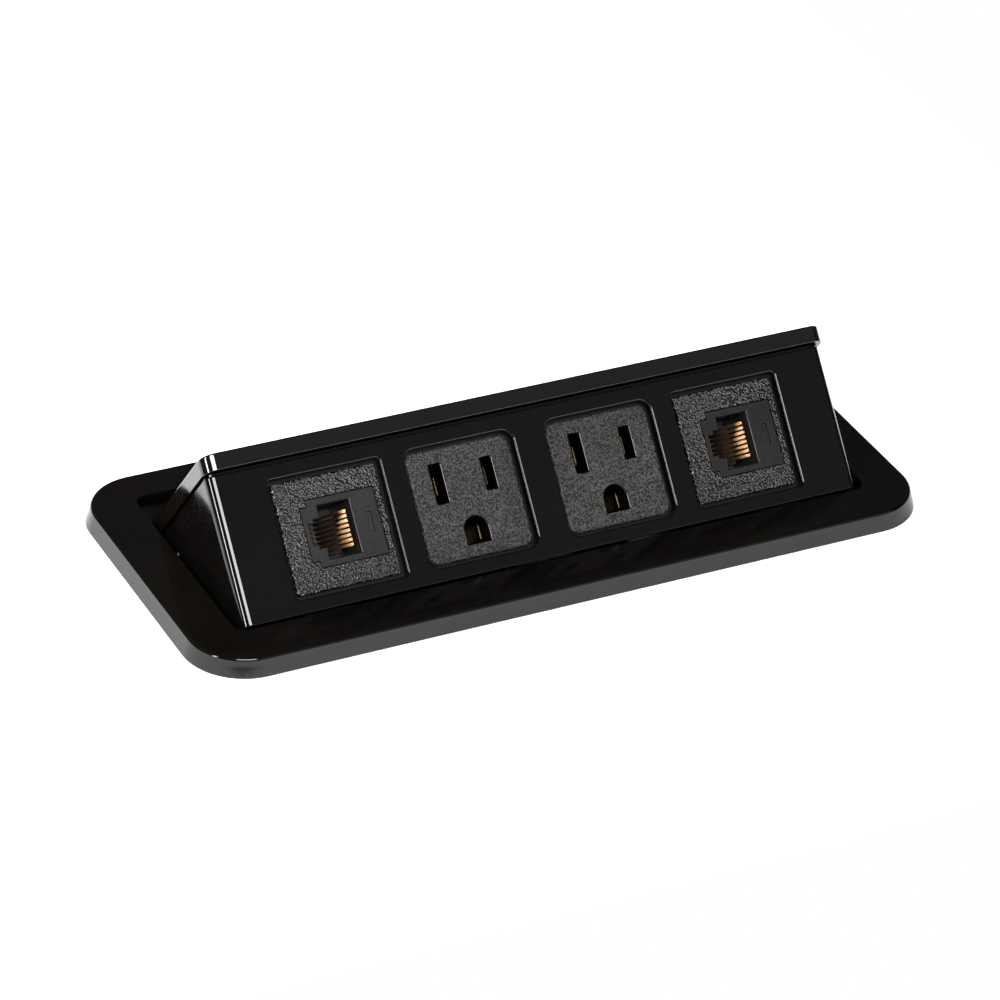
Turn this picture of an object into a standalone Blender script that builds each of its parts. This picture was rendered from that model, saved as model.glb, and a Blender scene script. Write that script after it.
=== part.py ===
"""Tilt-up desk power and data unit, built as separate pieces in metres, +Z up.

The desk surface is z = 0 and the origin is the middle of the desk cut-out. +X runs along the
length and +Y to the hinge side. The head stands open: the lid is shut when the head is turned
by TILT about its pins.
"""
import math

import bmesh
import bpy
from mathutils import Matrix, Vector

# ---------------------------------------------------------------- driving dimensions (metres)
GAP = 0.0003                     # clearance between pieces that touch

BEZEL_LENGTH = 0.1831            # top outline of the desk flange
BEZEL_DEPTH = 0.0789
BEZEL_HEIGHT = 0.0046
BEZEL_DRAFT = 0.0014             # how far the foot stands outside the top outline
BEZEL_CORNER = 0.0131
BEZEL_EDGE = 0.0004
BEZEL_PLATE = 0.0023             # thickness of the top plate
BEZEL_SKIRT = 0.0024             # thickness of the outer skirt

MOUTH_FRONT = 0.0284             # bezel mouth, measured from the middle
MOUTH_BACK = 0.0303
MOUTH_HALF = 0.0805
MOUTH_CORNER = 0.0030

TUB_OVERHANG = 0.0019            # the bezel mouth stands this far inside the tub wall
TUB_FRONT_SPACE = 0.0055         # room under the front border for the stop lip
TUB_BACK_SPACE = 0.0036          # room under the back border for the lid's back edge
TUB_WALL = 0.0016
TUB_DEPTH = 0.0460               # below the desk surface
TUB_CORNER = 0.0030
TUB_FLANGE = 0.0050              # width of the flange caught under the bezel

TILT = math.radians(52.0)        # lid slope with the head open
PIVOT_DROP = 0.0087              # pins below the top of the shut lid
PIVOT_BACK = 0.0139              # pins in front of the mouth's back edge
PIN_RADIUS = 0.0015
PIN_CLEAR = 0.00008               # running clearance of the pins in their holes
PIN_HEAD_RADIUS = 0.0032
PIN_HEAD = 0.0008
SPRING_RADIUS = 0.0036
SPRING_WIRE = 0.00035

LID_GAP_FRONT = 0.0011
LID_GAP_BACK = 0.0013
LID_GAP_SIDE = 0.0012
LID_HEIGHT = 0.0038
LID_PLATE = 0.0020
LID_SKIRT = 0.0016
LID_CORNER = 0.0028
LID_BACK_ROUND = 0.0012

SHELL_INSET = 0.0007             # cheeks inside the lid's sides
SHELL_EDGE = 0.0022              # rounding of the cheek's front edge
SHELL_WALL = 0.0024
SHELL_FLOOR = 0.0018
SHELL_DEPTH = 0.0270             # floor of the head behind the face
FACE_SETBACK = 0.0021            # face behind the lid's lip
FACE_FRONT_GAP = 0.0006          # face foot behind the mouth's front edge
LIP_GAP = 0.0010                 # shadow gap between lip and face

DATA_OFFSET = 0.0511             # port centres from the middle
MAINS_OFFSET = 0.0178
PORT_RISE = 0.0171               # port centres above the face foot
PORT_HALF = 0.0138               # half the square port opening
PORT_BEVEL = 0.00045
INSERT_SINK = 0.0013             # insert fronts behind the face
INSERT_HALF = 0.0129
MAINS_HALF = 0.0131
MAINS_CORNER = 0.0023
INSERT_FLANGE = 0.0149
INSERT_THICK = 0.0029

BLADE_SPACING = 0.0127
BLADE_TO_GROUND = 0.0119
BLADE_RISE = 0.0050              # blade line above the port centre
NEUTRAL_SLOT = (0.0024, 0.0090)
LINE_SLOT = (0.0022, 0.0073)
GROUND_HOLE = (0.0054, 0.0056)
MAINS_BODY_HALF = 0.0128
BODY_ROOM = 0.0110               # head depth kept for the insert, the tails and the wires
MAINS_BODY_DEPTH = SHELL_DEPTH - BODY_ROOM

JACK_SHIFT = 0.0027              # middle of the jack's face, toward +X of the port centre
JACK_HALF_LENGTH = 0.0083
JACK_HALF_WIDTH = 0.0077
JACK_STEP = 0.0017
JACK_STEP_HALF = 0.0061
JACK_CAVITY_HALF = 0.0062
JACK_CAVITY_LENGTH = 0.0079
JACK_ROOM = 0.0080               # head depth kept in front of and behind the jack
JACK_DEPTH = SHELL_DEPTH - JACK_ROOM

CLAMP_DESK = 0.0250              # desk thickness at the drawn clamp position
CLAMP_TRAVEL = 0.0070
CLAMP_SHEET = 0.0015
CLAMP_WIDTH = 0.0200
CLAMP_FOOT = 0.0150
CLAMP_Y = -0.0080
CLAMP_SCREW_DROP = 0.0080
CLAMP_SCREW_RADIUS = 0.0020

LATCH_Y = -0.0055
STRIKE_THICK = 0.0010
LATCH_TRAVEL = 0.0030
LATCH_SCREW_X = 0.0098
PLUNGER_RADIUS = 0.0025
GLAND_X = -0.0550
GROMMET_X = 0.0550
OUTLET_Y = 0.0180
GLAND_BORE = 0.0039
GROMMET_BORE = 0.0060

# ---------------------------------------------------------------- derived layout
TOP = BEZEL_HEIGHT
FOOT_X = BEZEL_LENGTH / 2 + BEZEL_DRAFT
FOOT_Y = BEZEL_DEPTH / 2 + BEZEL_DRAFT
TUB_X = MOUTH_HALF + TUB_OVERHANG
TUB_FRONT = -(MOUTH_FRONT + TUB_FRONT_SPACE)
TUB_BACK = MOUTH_BACK + TUB_BACK_SPACE
BEZEL_PLATE_UNDER = TOP - BEZEL_PLATE
TUB_TOP = BEZEL_PLATE_UNDER - GAP
TUB_FLOOR = -TUB_DEPTH + TUB_WALL
TUB_FLANGE_CORNER = BEZEL_CORNER - BEZEL_SKIRT - 0.0017
PIVOT = Vector((0.0, MOUTH_BACK - PIVOT_BACK, TOP - PIVOT_DROP))

LID_X = MOUTH_HALF - LID_GAP_SIDE
LID_FRONT = -(MOUTH_FRONT - LID_GAP_FRONT) - PIVOT.y      # shut lid, from the pins
LID_BACK = MOUTH_BACK - LID_GAP_BACK - PIVOT.y
LID_TOP = PIVOT_DROP
SHELL_X = LID_X - SHELL_INSET

FACE_FOOT = Vector((0.0, -MOUTH_FRONT + FACE_FRONT_GAP, TOP))
LIP_OPEN = PIVOT + Matrix.Rotation(-TILT, 4, "X") @ Vector((0.0, LID_FRONT, LID_TOP))
LIP_REACH = (LIP_OPEN - FACE_FOOT).length
LIP_ANGLE = math.atan2(LIP_OPEN.z - FACE_FOOT.z, LIP_OPEN.y - FACE_FOOT.y)
FACE_ANGLE = LIP_ANGLE - math.asin(FACE_SETBACK / LIP_REACH)
LIP_TOP_V = LIP_REACH * math.cos(LIP_ANGLE - FACE_ANGLE)  # lip's top edge, up the face
FACE_TOP = LIP_TOP_V - LID_HEIGHT - LIP_GAP
LEAN = TILT + FACE_ANGLE - math.pi / 2                    # face off upright with the head shut

HEAD_FRAME = Matrix.Translation(PIVOT) @ Matrix.Rotation(-TILT, 4, "X")
FACE_FRAME = Matrix.Translation(FACE_FOOT) @ Matrix.Rotation(FACE_ANGLE, 4, "X")
FACE_IN_HEAD = HEAD_FRAME.inverted() @ FACE_FRAME
PIVOT_IN_FACE = FACE_FRAME.inverted() @ PIVOT


# ---------------------------------------------------------------- scene and materials
def clear_scene():
    """Remove every object, mesh, curve and material of the open file."""
    for obj in list(bpy.data.objects):
        bpy.data.objects.remove(obj, do_unlink=True)
    for group in (bpy.data.meshes, bpy.data.curves, bpy.data.materials):
        for block in list(group):
            group.remove(block)


FINISHES = {
    "gloss_black": ((0.012, 0.011, 0.010), 0.14, 0.0),
    "satin_black": ((0.014, 0.013, 0.012), 0.34, 0.0),
    "textured_black": ((0.016, 0.015, 0.014), 0.50, 0.0),
    "housing_black": ((0.020, 0.020, 0.020), 0.45, 0.0),
    "steel": ((0.55, 0.56, 0.57), 0.30, 1.0),
    "brass": ((0.78, 0.55, 0.24), 0.28, 1.0),
    "gold": ((0.90, 0.66, 0.28), 0.22, 1.0),
    "rubber": ((0.015, 0.015, 0.015), 0.80, 0.0),
    "wire_black": ((0.020, 0.020, 0.020), 0.45, 0.0),
    "wire_white": ((0.75, 0.75, 0.72), 0.45, 0.0),
    "wire_green": ((0.03, 0.25, 0.06), 0.45, 0.0),
    "ivory": ((0.55, 0.53, 0.48), 0.50, 0.0),
}


def finish(name):
    """Return the named Principled material, made once."""
    material = bpy.data.materials.get(name)
    if material is None:
        colour, roughness, metallic = FINISHES[name]
        material = bpy.data.materials.new(name)
        material.use_nodes = True
        shader = material.node_tree.nodes["Principled BSDF"]
        shader.inputs["Base Color"].default_value = (*colour, 1.0)
        shader.inputs["Roughness"].default_value = roughness
        shader.inputs["Metallic"].default_value = metallic
    return material


def empty(name, matrix, parent=None):
    """Add an empty with this local matrix."""
    obj = bpy.data.objects.new(name, None)
    obj.empty_display_size = 0.01
    bpy.context.scene.collection.objects.link(obj)
    obj.parent = parent
    obj.matrix_basis = matrix
    return obj


# ---------------------------------------------------------------- shape helpers
def rounded_rect(x0, x1, y0, y1, radius, segments=5):
    """Points of a rounded rectangle, counter-clockwise from the +X side."""
    corners = (
        (x1 - radius, y1 - radius, 0.0),
        (x0 + radius, y1 - radius, 90.0),
        (x0 + radius, y0 + radius, 180.0),
        (x1 - radius, y0 + radius, 270.0),
    )
    points = []
    for cx, cy, start in corners:
        for i in range(segments + 1):
            a = math.radians(start + 90.0 * i / segments)
            points.append((cx + radius * math.cos(a), cy + radius * math.sin(a)))
    return points


def ring_at(points, z):
    """Lift 2-D points to height z."""
    return [(x, y, z) for x, y in points]


def circle(radius, segments=24, phase=0.0):
    """Points of a circle about the origin."""
    step = 2 * math.pi / segments
    return [(radius * math.cos(phase + i * step), radius * math.sin(phase + i * step)) for i in range(segments)]


def loft(bm, rings, closed=False):
    """Skin rings of equal length; cap both ends unless the rings close on themselves."""
    rows = [[bm.verts.new(p) for p in ring] for ring in rings]
    count = len(rows[0])
    pairs = list(zip(rows, rows[1:]))
    if closed:
        pairs.append((rows[-1], rows[0]))
    for low, high in pairs:
        for i in range(count):
            j = (i + 1) % count
            bm.faces.new((low[i], low[j], high[j], high[i]))
    if not closed:
        bm.faces.new(list(reversed(rows[0])))
        bm.faces.new(rows[-1])


def box(bm, x0, x1, y0, y1, z0, z1):
    """Add a closed box."""
    corners = [(x0, y0), (x1, y0), (x1, y1), (x0, y1)]
    loft(bm, [ring_at(corners, z0), ring_at(corners, z1)])


def turned(bm, profile, centre=(0.0, 0.0, 0.0), axis="Z", segments=24, phase=0.0):
    """Add a closed turned solid from (radius, height) pairs along an axis."""
    turn = {"Z": Matrix(), "X": Matrix.Rotation(math.pi / 2, 4, "Y"), "Y": Matrix.Rotation(-math.pi / 2, 4, "X")}
    place = Matrix.Translation(centre) @ turn[axis]
    rings = []
    for radius, height in profile:
        rings.append([place @ Vector((x, y, height)) for x, y in circle(radius, segments, phase)])
    loft(bm, rings)


def tube(bm, inner, outer, z0, z1, centre=(0.0, 0.0, 0.0), axis="Z", segments=24):
    """Add a closed pipe."""
    turn = {"Z": Matrix(), "X": Matrix.Rotation(math.pi / 2, 4, "Y"), "Y": Matrix.Rotation(-math.pi / 2, 4, "X")}
    place = Matrix.Translation(centre) @ turn[axis]
    rings = []
    for radius, height in ((outer, z0), (outer, z1), (inner, z1), (inner, z0)):
        rings.append([place @ Vector((x, y, height)) for x, y in circle(radius, segments)])
    loft(bm, rings, closed=True)


def extrude_x(bm, profile, x0, x1):
    """Extrude a (y, z) profile along X."""
    loft(bm, [[(x, y, z) for y, z in profile] for x in (x0, x1)])


def extrude_z(bm, profile, z0, z1):
    """Extrude an (x, y) profile along Z."""
    loft(bm, [ring_at(profile, z0), ring_at(profile, z1)])


def to_mesh(bm, name, smooth=35.0):
    """Turn the working mesh into a mesh block with its faces pointing out."""
    bmesh.ops.recalc_face_normals(bm, faces=bm.faces)
    mesh = bpy.data.meshes.new(name)
    bm.to_mesh(mesh)
    bm.free()
    mesh.shade_smooth()
    mesh.set_sharp_from_angle(angle=math.radians(smooth))
    return mesh


def node(name, bm, material, parent=None):
    """Add one piece of the object."""
    obj = bpy.data.objects.new(name, to_mesh(bm, name))
    obj.data.materials.append(finish(material))
    bpy.context.scene.collection.objects.link(obj)
    obj.parent = parent
    return obj


def copy_node(source, name, offset):
    """Add a copy of a piece that shares its mesh and repeats its cuts at an offset."""
    obj = bpy.data.objects.new(name, source.data)
    bpy.context.scene.collection.objects.link(obj)
    obj.parent = source.parent
    obj.matrix_basis = Matrix.Translation(offset) @ source.matrix_basis
    for modifier in source.modifiers:
        cutter = modifier.object
        twin = bpy.data.objects.new(cutter.name + "_" + name, cutter.data)
        bpy.context.scene.collection.objects.link(twin)
        twin.parent = cutter.parent
        twin.matrix_basis = Matrix.Translation(offset) @ cutter.matrix_basis
        hide(twin)
        added = obj.modifiers.new(modifier.name, "BOOLEAN")
        added.operation = modifier.operation
        added.solver = "EXACT"
        added.object = twin
    return obj


def hide(obj):
    """Mark a helper as a wire guide that is never rendered."""
    obj.hide_render = True
    obj.display_type = "WIRE"


def combine(obj, bm, operation, label, parent=None):
    """Cut from, or join to, a piece with the solids in bm."""
    helper = bpy.data.objects.new(f"{label}_{obj.name}", to_mesh(bm, label))
    bpy.context.scene.collection.objects.link(helper)
    helper.parent = parent if parent is not None else obj.parent
    hide(helper)
    modifier = obj.modifiers.new(label, "BOOLEAN")
    modifier.operation = operation
    modifier.solver = "EXACT"
    modifier.object = helper
    return helper


# ---------------------------------------------------------------- desk flange and housing
def screw_spots():
    """Places of the four screws that hold the tub to the bezel."""
    x = (TUB_X + TUB_WALL) + TUB_FLANGE / 2
    y = (TUB_BACK - TUB_FRONT) * 0.33
    return [(sx * x, (TUB_BACK + TUB_FRONT) / 2 + sy * y) for sx in (-1, 1) for sy in (-1, 1)]


def build_bezel():
    """The desk flange: a drafted, hollow-backed rounded frame around the mouth."""
    bm = bmesh.new()
    rings = []
    half_x = BEZEL_LENGTH / 2
    half_y = BEZEL_DEPTH / 2
    edge = BEZEL_EDGE
    levels = [(0.0, BEZEL_DRAFT), (TOP - edge, BEZEL_DRAFT * edge / TOP)]
    levels += [(TOP - edge * 0.3, -edge * 0.25), (TOP, -edge)]
    for z, out in levels:
        outline = rounded_rect(-half_x - out, half_x + out, -half_y - out, half_y + out, BEZEL_CORNER + out, 10)
        rings.append(ring_at(outline, z))
    loft(bm, rings)
    bezel = node("desk_bezel", bm, "gloss_black")
    bm = bmesh.new()
    inner_x = half_x + BEZEL_DRAFT / 2 - BEZEL_SKIRT
    inner_y = half_y + BEZEL_DRAFT / 2 - BEZEL_SKIRT
    pocket = rounded_rect(-inner_x, inner_x, -inner_y, inner_y, BEZEL_CORNER - BEZEL_SKIRT, 6)
    mouth = rounded_rect(-MOUTH_HALF, MOUTH_HALF, -MOUTH_FRONT, MOUTH_BACK, MOUTH_CORNER, 6)
    under = BEZEL_PLATE_UNDER
    loft(bm, [ring_at(pocket, -0.001), ring_at(pocket, under), ring_at(mouth, under), ring_at(mouth, TOP + 0.001)])
    combine(bezel, bm, "DIFFERENCE", "mouth_cut")
    bm = bmesh.new()
    for x, y in screw_spots():
        turned(bm, [(0.00105, under - 0.0005), (0.00105, under + 0.0016)], (x, y, 0.0), segments=12)
    combine(bezel, bm, "DIFFERENCE", "pilot_holes")
    return bezel


def build_tub():
    """The housing under the desk: an open-topped tub with a flange caught by the bezel."""
    bm = bmesh.new()
    wall = TUB_WALL
    outer = rounded_rect(-TUB_X - wall, TUB_X + wall, TUB_FRONT - wall, TUB_BACK + wall, TUB_CORNER, 4)
    reach = TUB_FLANGE
    lip = 0.0017
    flange = rounded_rect(
        -TUB_X - wall - reach, TUB_X + wall + reach, TUB_FRONT - wall - lip, TUB_BACK + wall + lip, TUB_FLANGE_CORNER, 4
    )
    inner = rounded_rect(-TUB_X, TUB_X, TUB_FRONT, TUB_BACK, TUB_CORNER - wall, 4)
    rings = [ring_at(outer, -TUB_DEPTH), ring_at(outer, GAP), ring_at(flange, GAP), ring_at(flange, TUB_TOP)]
    rings += [ring_at(inner, TUB_TOP), ring_at(inner, TUB_FLOOR)]
    loft(bm, rings)
    tub = node("under_desk_housing", bm, "housing_black")
    bm = bmesh.new()
    for side in (-1, 1):
        across = side * (TUB_X + wall / 2)
        turned(bm, [(PIN_RADIUS + PIN_CLEAR, -0.003), (PIN_RADIUS + PIN_CLEAR, 0.003)], (across, PIVOT.y, PIVOT.z), "X", 20)
        z_mid = -CLAMP_DESK - CLAMP_SCREW_DROP
        half = CLAMP_SCREW_RADIUS + 0.0004
        box(bm, across - 0.003, across + 0.003, CLAMP_Y - half, CLAMP_Y + half,
            z_mid - CLAMP_TRAVEL - half, z_mid + CLAMP_TRAVEL + half)
    hole = 0.0062 + GAP
    turned(bm, [(hole, -TUB_DEPTH - 0.001), (hole, TUB_FLOOR + 0.001)], (GLAND_X, OUTLET_Y, 0.0))
    hole = 0.0080
    turned(bm, [(hole, -TUB_DEPTH - 0.001), (hole, TUB_FLOOR + 0.001)], (GROMMET_X, OUTLET_Y, 0.0))
    for side in (-1, 1):
        turned(bm, [(0.0011, TUB_FLOOR - 0.0011), (0.0011, TUB_FLOOR + 0.001)],
               (side * LATCH_SCREW_X, LATCH_Y, 0.0), segments=14)
    combine(tub, bm, "DIFFERENCE", "wall_holes")
    bm = bmesh.new()
    for x, y in screw_spots():
        turned(bm, [(0.0023, GAP - 0.0005), (0.0023, GAP), (0.00115, GAP + 0.00115), (0.00115, TUB_TOP + 0.001)],
               (x, y, 0.0), segments=16)
    combine(tub, bm, "DIFFERENCE", "countersinks")
    bm = bmesh.new()
    for side in (-1, 1):
        y = PIVOT.y - SPRING_RADIUS - SPRING_WIRE - GAP - 0.0010
        ends = sorted((side * (TUB_X - 0.0014), side * (TUB_X + 0.0004)))
        turned(bm, [(0.0010, ends[0]), (0.0010, ends[1])], (0.0, y, PIVOT.z - 0.0080), "X", 14)
    combine(tub, bm, "UNION", "spring_pegs")
    return tub


def build_flange_screws():
    """Four countersunk screws holding the tub's flange up to the bezel."""
    first = None
    for i, (x, y) in enumerate(screw_spots()):
        if first is None:
            bm = bmesh.new()
            low = GAP + 0.0001
            turned(bm, [(0.0019, low), (0.00080, low + 0.0011), (0.00075, BEZEL_PLATE_UNDER + 0.0013)], segments=16)
            first = node("bezel_screw_1", bm, "steel")
            first.location = (x, y, 0.0)
            bm = bmesh.new()
            box(bm, -0.0011, 0.0011, -0.00022, 0.00022, low - 0.0005, low + 0.0005)
            slot = combine(first, bm, "DIFFERENCE", "drive_slot")
            slot.location = (x, y, 0.0)
            origin = Vector((x, y, 0.0))
        else:
            copy_node(first, f"bezel_screw_{i + 1}", Vector((x, y, 0.0)) - origin)


def build_pins():
    """Headed hinge pins through the tub's ends, each with a retaining clip inside the cheek."""
    for side, word in ((-1, "left"), (1, "right")):
        outside = TUB_X + TUB_WALL + GAP
        inside = SHELL_X - SHELL_WALL - 0.0022
        bm = bmesh.new()
        profile = [(PIN_RADIUS, inside), (PIN_RADIUS, outside), (PIN_HEAD_RADIUS, outside)]
        profile += [(PIN_HEAD_RADIUS, outside + PIN_HEAD * 0.7), (PIN_HEAD_RADIUS - 0.0003, outside + PIN_HEAD)]
        turned(bm, [(r, side * h) for r, h in profile], (0.0, PIVOT.y, PIVOT.z), "X", 20)
        node(f"hinge_pin_{word}", bm, "steel")
        bm = bmesh.new()
        x0 = SHELL_X - SHELL_WALL - GAP - 0.0008
        ring = []
        steps = 14
        start = math.radians(35.0)
        sweep = 2 * math.pi - 2 * start
        angles = [start + sweep * i / steps for i in range(steps + 1)]
        low = PIN_RADIUS + GAP
        ring += [(0.0031 * math.sin(a), 0.0031 * math.cos(a)) for a in angles]
        ring += [(low * math.sin(a), low * math.cos(a)) for a in reversed(angles)]
        profile = [(PIVOT.y + y, PIVOT.z + z) for y, z in ring]
        extrude_x(bm, profile, side * x0, side * (x0 + 0.0008))
        node(f"pin_clip_{word}", bm, "steel")


def coil_points(side):
    """Path of a torsion spring: a leg along the cheek, the coil and a leg down the tub wall."""
    radius = SPRING_RADIUS
    x_in = SHELL_X + 0.0008
    x_out = TUB_X - 0.0007
    turns = 2.25
    steps = 30
    start = math.radians(-90.0)
    points = []
    for i in range(steps + 1):
        t = i / steps
        a = start - turns * 2 * math.pi * t
        x = x_in + (x_out - x_in) * t
        points.append((side * x, PIVOT.y + radius * math.cos(a), PIVOT.z + radius * math.sin(a)))
    first = Vector(points[0])
    last = Vector(points[-1])
    points.insert(0, first + Vector((0.0, -0.0105, 0.0)))
    points.append(last + Vector((0.0, 0.0, -0.0100)))
    return points


def build_springs():
    """Torsion springs on the hinge pins that lift the head."""
    for side, word in ((-1, "left"), (1, "right")):
        curve = bpy.data.curves.new(f"torsion_spring_{word}", "CURVE")
        curve.dimensions = "3D"
        curve.bevel_depth = SPRING_WIRE
        curve.bevel_resolution = 1
        curve.render_resolution_u = 0
        curve.use_fill_caps = True
        points = coil_points(side)
        spline = curve.splines.new("POLY")
        spline.points.add(len(points) - 1)
        for slot, point in zip(spline.points, points):
            slot.co = (*point, 1.0)
        curve.materials.append(finish("steel"))
        obj = bpy.data.objects.new(f"torsion_spring_{word}", curve)
        bpy.context.scene.collection.objects.link(obj)


# ---------------------------------------------------------------- fittings under the desk
def build_clamps():
    """Sliding desk clamps, each with its thumb screw and square nut, on the tub's ends."""
    for side, word in ((-1, "left"), (1, "right")):
        wall = TUB_X + TUB_WALL
        x0 = wall + GAP
        top = -CLAMP_DESK
        screw_z = top - CLAMP_SCREW_DROP
        sheet = CLAMP_SHEET
        drop = CLAMP_SCREW_DROP + 0.0075
        axis = empty(f"clamp_slide_{word}", Matrix.Translation((side * wall, CLAMP_Y, screw_z)))
        lift = CLAMP_SCREW_DROP
        profile = [(x0, -drop), (x0 + sheet, -drop), (x0 + sheet, -sheet), (x0 + CLAMP_FOOT, -sheet)]
        profile += [(x0 + CLAMP_FOOT, 0.0), (x0, 0.0)]
        bm = bmesh.new()
        rings = []
        for y in (-CLAMP_WIDTH / 2, CLAMP_WIDTH / 2):
            rings.append([(side * (x - wall), y, z + lift) for x, z in profile])
        loft(bm, rings)
        bracket = node(f"clamp_bracket_{word}", bm, "steel", axis)
        bm = bmesh.new()
        r = CLAMP_SCREW_RADIUS + GAP
        turned(bm, [(r, -0.002), (r, 0.004)], (side * 0.0005, 0.0, 0.0), "X", 20)
        combine(bracket, bm, "DIFFERENCE", "screw_hole")
        bm = bmesh.new()
        head0 = GAP + sheet + GAP
        profile = [(CLAMP_SCREW_RADIUS, -TUB_WALL - 0.0021), (CLAMP_SCREW_RADIUS, head0)]
        profile += [(0.0032, head0), (0.0032, head0 + 0.0012), (0.0056, head0 + 0.0016)]
        profile += [(0.0058, head0 + 0.0045), (0.0050, head0 + 0.0052)]
        turned(bm, [(r, side * h) for r, h in profile], (0.0, 0.0, 0.0), "X", 20)
        node(f"clamp_thumbscrew_{word}", bm, "steel", axis)
        bm = bmesh.new()
        half = 0.0036
        hole = CLAMP_SCREW_RADIUS + GAP
        x_out = -TUB_WALL - GAP
        x_in = x_out - 0.0016
        round_hole = circle(hole, 24)
        square = [(y * half / max(abs(y), abs(z)), z * half / max(abs(y), abs(z))) for y, z in round_hole]
        rings = []
        for points, x in ((square, x_in), (square, x_out), (round_hole, x_out), (round_hole, x_in)):
            rings.append([(side * x, y, z) for y, z in points])
        loft(bm, rings, closed=True)
        node(f"clamp_nut_{word}", bm, "steel", axis)


def latch_height():
    """Height of the shut head's strike plate above the front of the plunger."""
    corner = PIVOT + FACE_IN_HEAD @ Vector((0.0, 0.0, 0.0))
    run = LATCH_Y - PLUNGER_RADIUS - corner.y
    return corner.z + run * math.tan(LEAN) - (GAP + STRIKE_THICK) / math.cos(LEAN)


def build_latch():
    """Touch latch on the tub floor: a body and its push plunger."""
    tip = latch_height() - GAP
    body_top = tip - LATCH_TRAVEL - GAP
    bm = bmesh.new()
    outline = rounded_rect(-0.0075, 0.0075, LATCH_Y - 0.0050, LATCH_Y + 0.0050, 0.0010, 3)
    foot = rounded_rect(-0.0120, 0.0120, LATCH_Y - 0.0055, LATCH_Y + 0.0055, 0.0010, 3)
    low = TUB_FLOOR + GAP
    loft(bm, [ring_at(foot, low), ring_at(foot, low + 0.0014), ring_at(outline, low + 0.0014), ring_at(outline, body_top)])
    body = node("touch_latch_body", bm, "housing_black")
    bm = bmesh.new()
    bore = PLUNGER_RADIUS + GAP
    turned(bm, [(bore, low - 0.001), (bore, body_top + 0.001)], (0.0, LATCH_Y, 0.0), segments=20)
    for side in (-1, 1):
        turned(bm, [(0.0011, low - 0.001), (0.0011, low + 0.003)], (side * LATCH_SCREW_X, LATCH_Y, 0.0), segments=14)
    combine(body, bm, "DIFFERENCE", "latch_bore")
    axis = empty("plunger_slide", Matrix.Translation((0.0, LATCH_Y, tip)))
    bm = bmesh.new()
    length = tip - (low + GAP) - LATCH_TRAVEL
    r = PLUNGER_RADIUS
    turned(bm, [(r, -length), (r, -0.0006), (r - 0.0003, -0.0001), (r - 0.0008, 0.0)], segments=20)
    node("touch_latch_plunger", bm, "ivory", axis)
    for side, word in ((-1, "left"), (1, "right")):
        bm = bmesh.new()
        top = low + 0.0014 + GAP
        profile = [(0.0008, TUB_FLOOR - 0.0008), (0.0008, top), (0.0017, top), (0.0017, top + 0.0007)]
        profile += [(0.0011, top + 0.0012)]
        turned(bm, profile, (side * LATCH_SCREW_X, LATCH_Y, 0.0), segments=14)
        node(f"latch_screw_{word}", bm, "steel")


def build_outlets():
    """Supply inlet gland with its lock nut, and the data grommet, in the tub floor."""
    bm = bmesh.new()
    under = -TUB_DEPTH - GAP
    bore = GLAND_BORE
    outer = [(0.0088, under), (0.0088, under - 0.0035), (0.0080, under - 0.0040)]
    outer += [(0.0078, under - 0.0090), (0.0058, under - 0.0120)]
    rings = []
    for radius, z in outer:
        rings.append(ring_at(circle(radius, 48), z))
    for radius, z in ((bore + 0.0006, under - 0.0120), (bore, under - 0.0112), (bore, TUB_FLOOR + 0.0050)):
        rings.append(ring_at(circle(radius, 48), z))
    rings.append(ring_at(circle(0.0062 - GAP, 48), TUB_FLOOR + 0.0050))
    rings.append(ring_at(circle(0.0062 - GAP, 48), under))
    loft(bm, rings, closed=True)
    gland = node("supply_inlet_gland", bm, "satin_black")
    gland.location = (GLAND_X, OUTLET_Y, 0.0)
    bm = bmesh.new()
    low = TUB_FLOOR + GAP
    hexagon = []
    for i in range(48):
        a = 2 * math.pi * i / 48
        reach = 0.0080 / math.cos((a % (math.pi / 3)) - math.pi / 6)
        hexagon.append((reach * math.cos(a), reach * math.sin(a)))
    hole = circle(0.0062, 48)
    loft(bm, [ring_at(hexagon, low), ring_at(hexagon, low + 0.0035), ring_at(hole, low + 0.0035), ring_at(hole, low)],
         closed=True)
    nut = node("gland_lock_nut", bm, "satin_black")
    nut.location = (GLAND_X, OUTLET_Y, 0.0)
    bm = bmesh.new()
    r = 0.0080
    top = TUB_FLOOR + GAP
    low = -TUB_DEPTH - GAP
    profile = [(GROMMET_BORE, low - 0.0010), (r + 0.0012, low - 0.0010), (r + 0.0016, low), (r - GAP, low)]
    profile += [(r - GAP, top), (r + 0.0016, top), (r + 0.0012, top + 0.0010), (GROMMET_BORE, top + 0.0010)]
    loft(bm, [ring_at(circle(radius, 48), z) for radius, z in profile], closed=True)
    grommet = node("data_cable_grommet", bm, "rubber")
    grommet.location = (GROMMET_X, OUTLET_Y, 0.0)


STOP_TOP = BEZEL_PLATE_UNDER - 0.0015    # top of the head's stop lip with the head open


STOP_X = 0.0580                          # middle of each stop hook
STOP_REACH = 0.0032                      # how far a hook goes under the bezel's front border


def build_bumpers():
    """Rubber pads under the bezel's front border that the stop lip comes up against."""
    for side, word in ((-1, "left"), (1, "right")):
        bm = bmesh.new()
        x = side * STOP_X
        outline = rounded_rect(x - 0.006, x + 0.006, TUB_FRONT + 0.0024, -MOUTH_FRONT - 0.0006, 0.0008, 3)
        extrude_z(bm, outline, STOP_TOP + GAP, BEZEL_PLATE_UNDER - GAP)
        node(f"stop_bumper_{word}", bm, "rubber")


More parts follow.
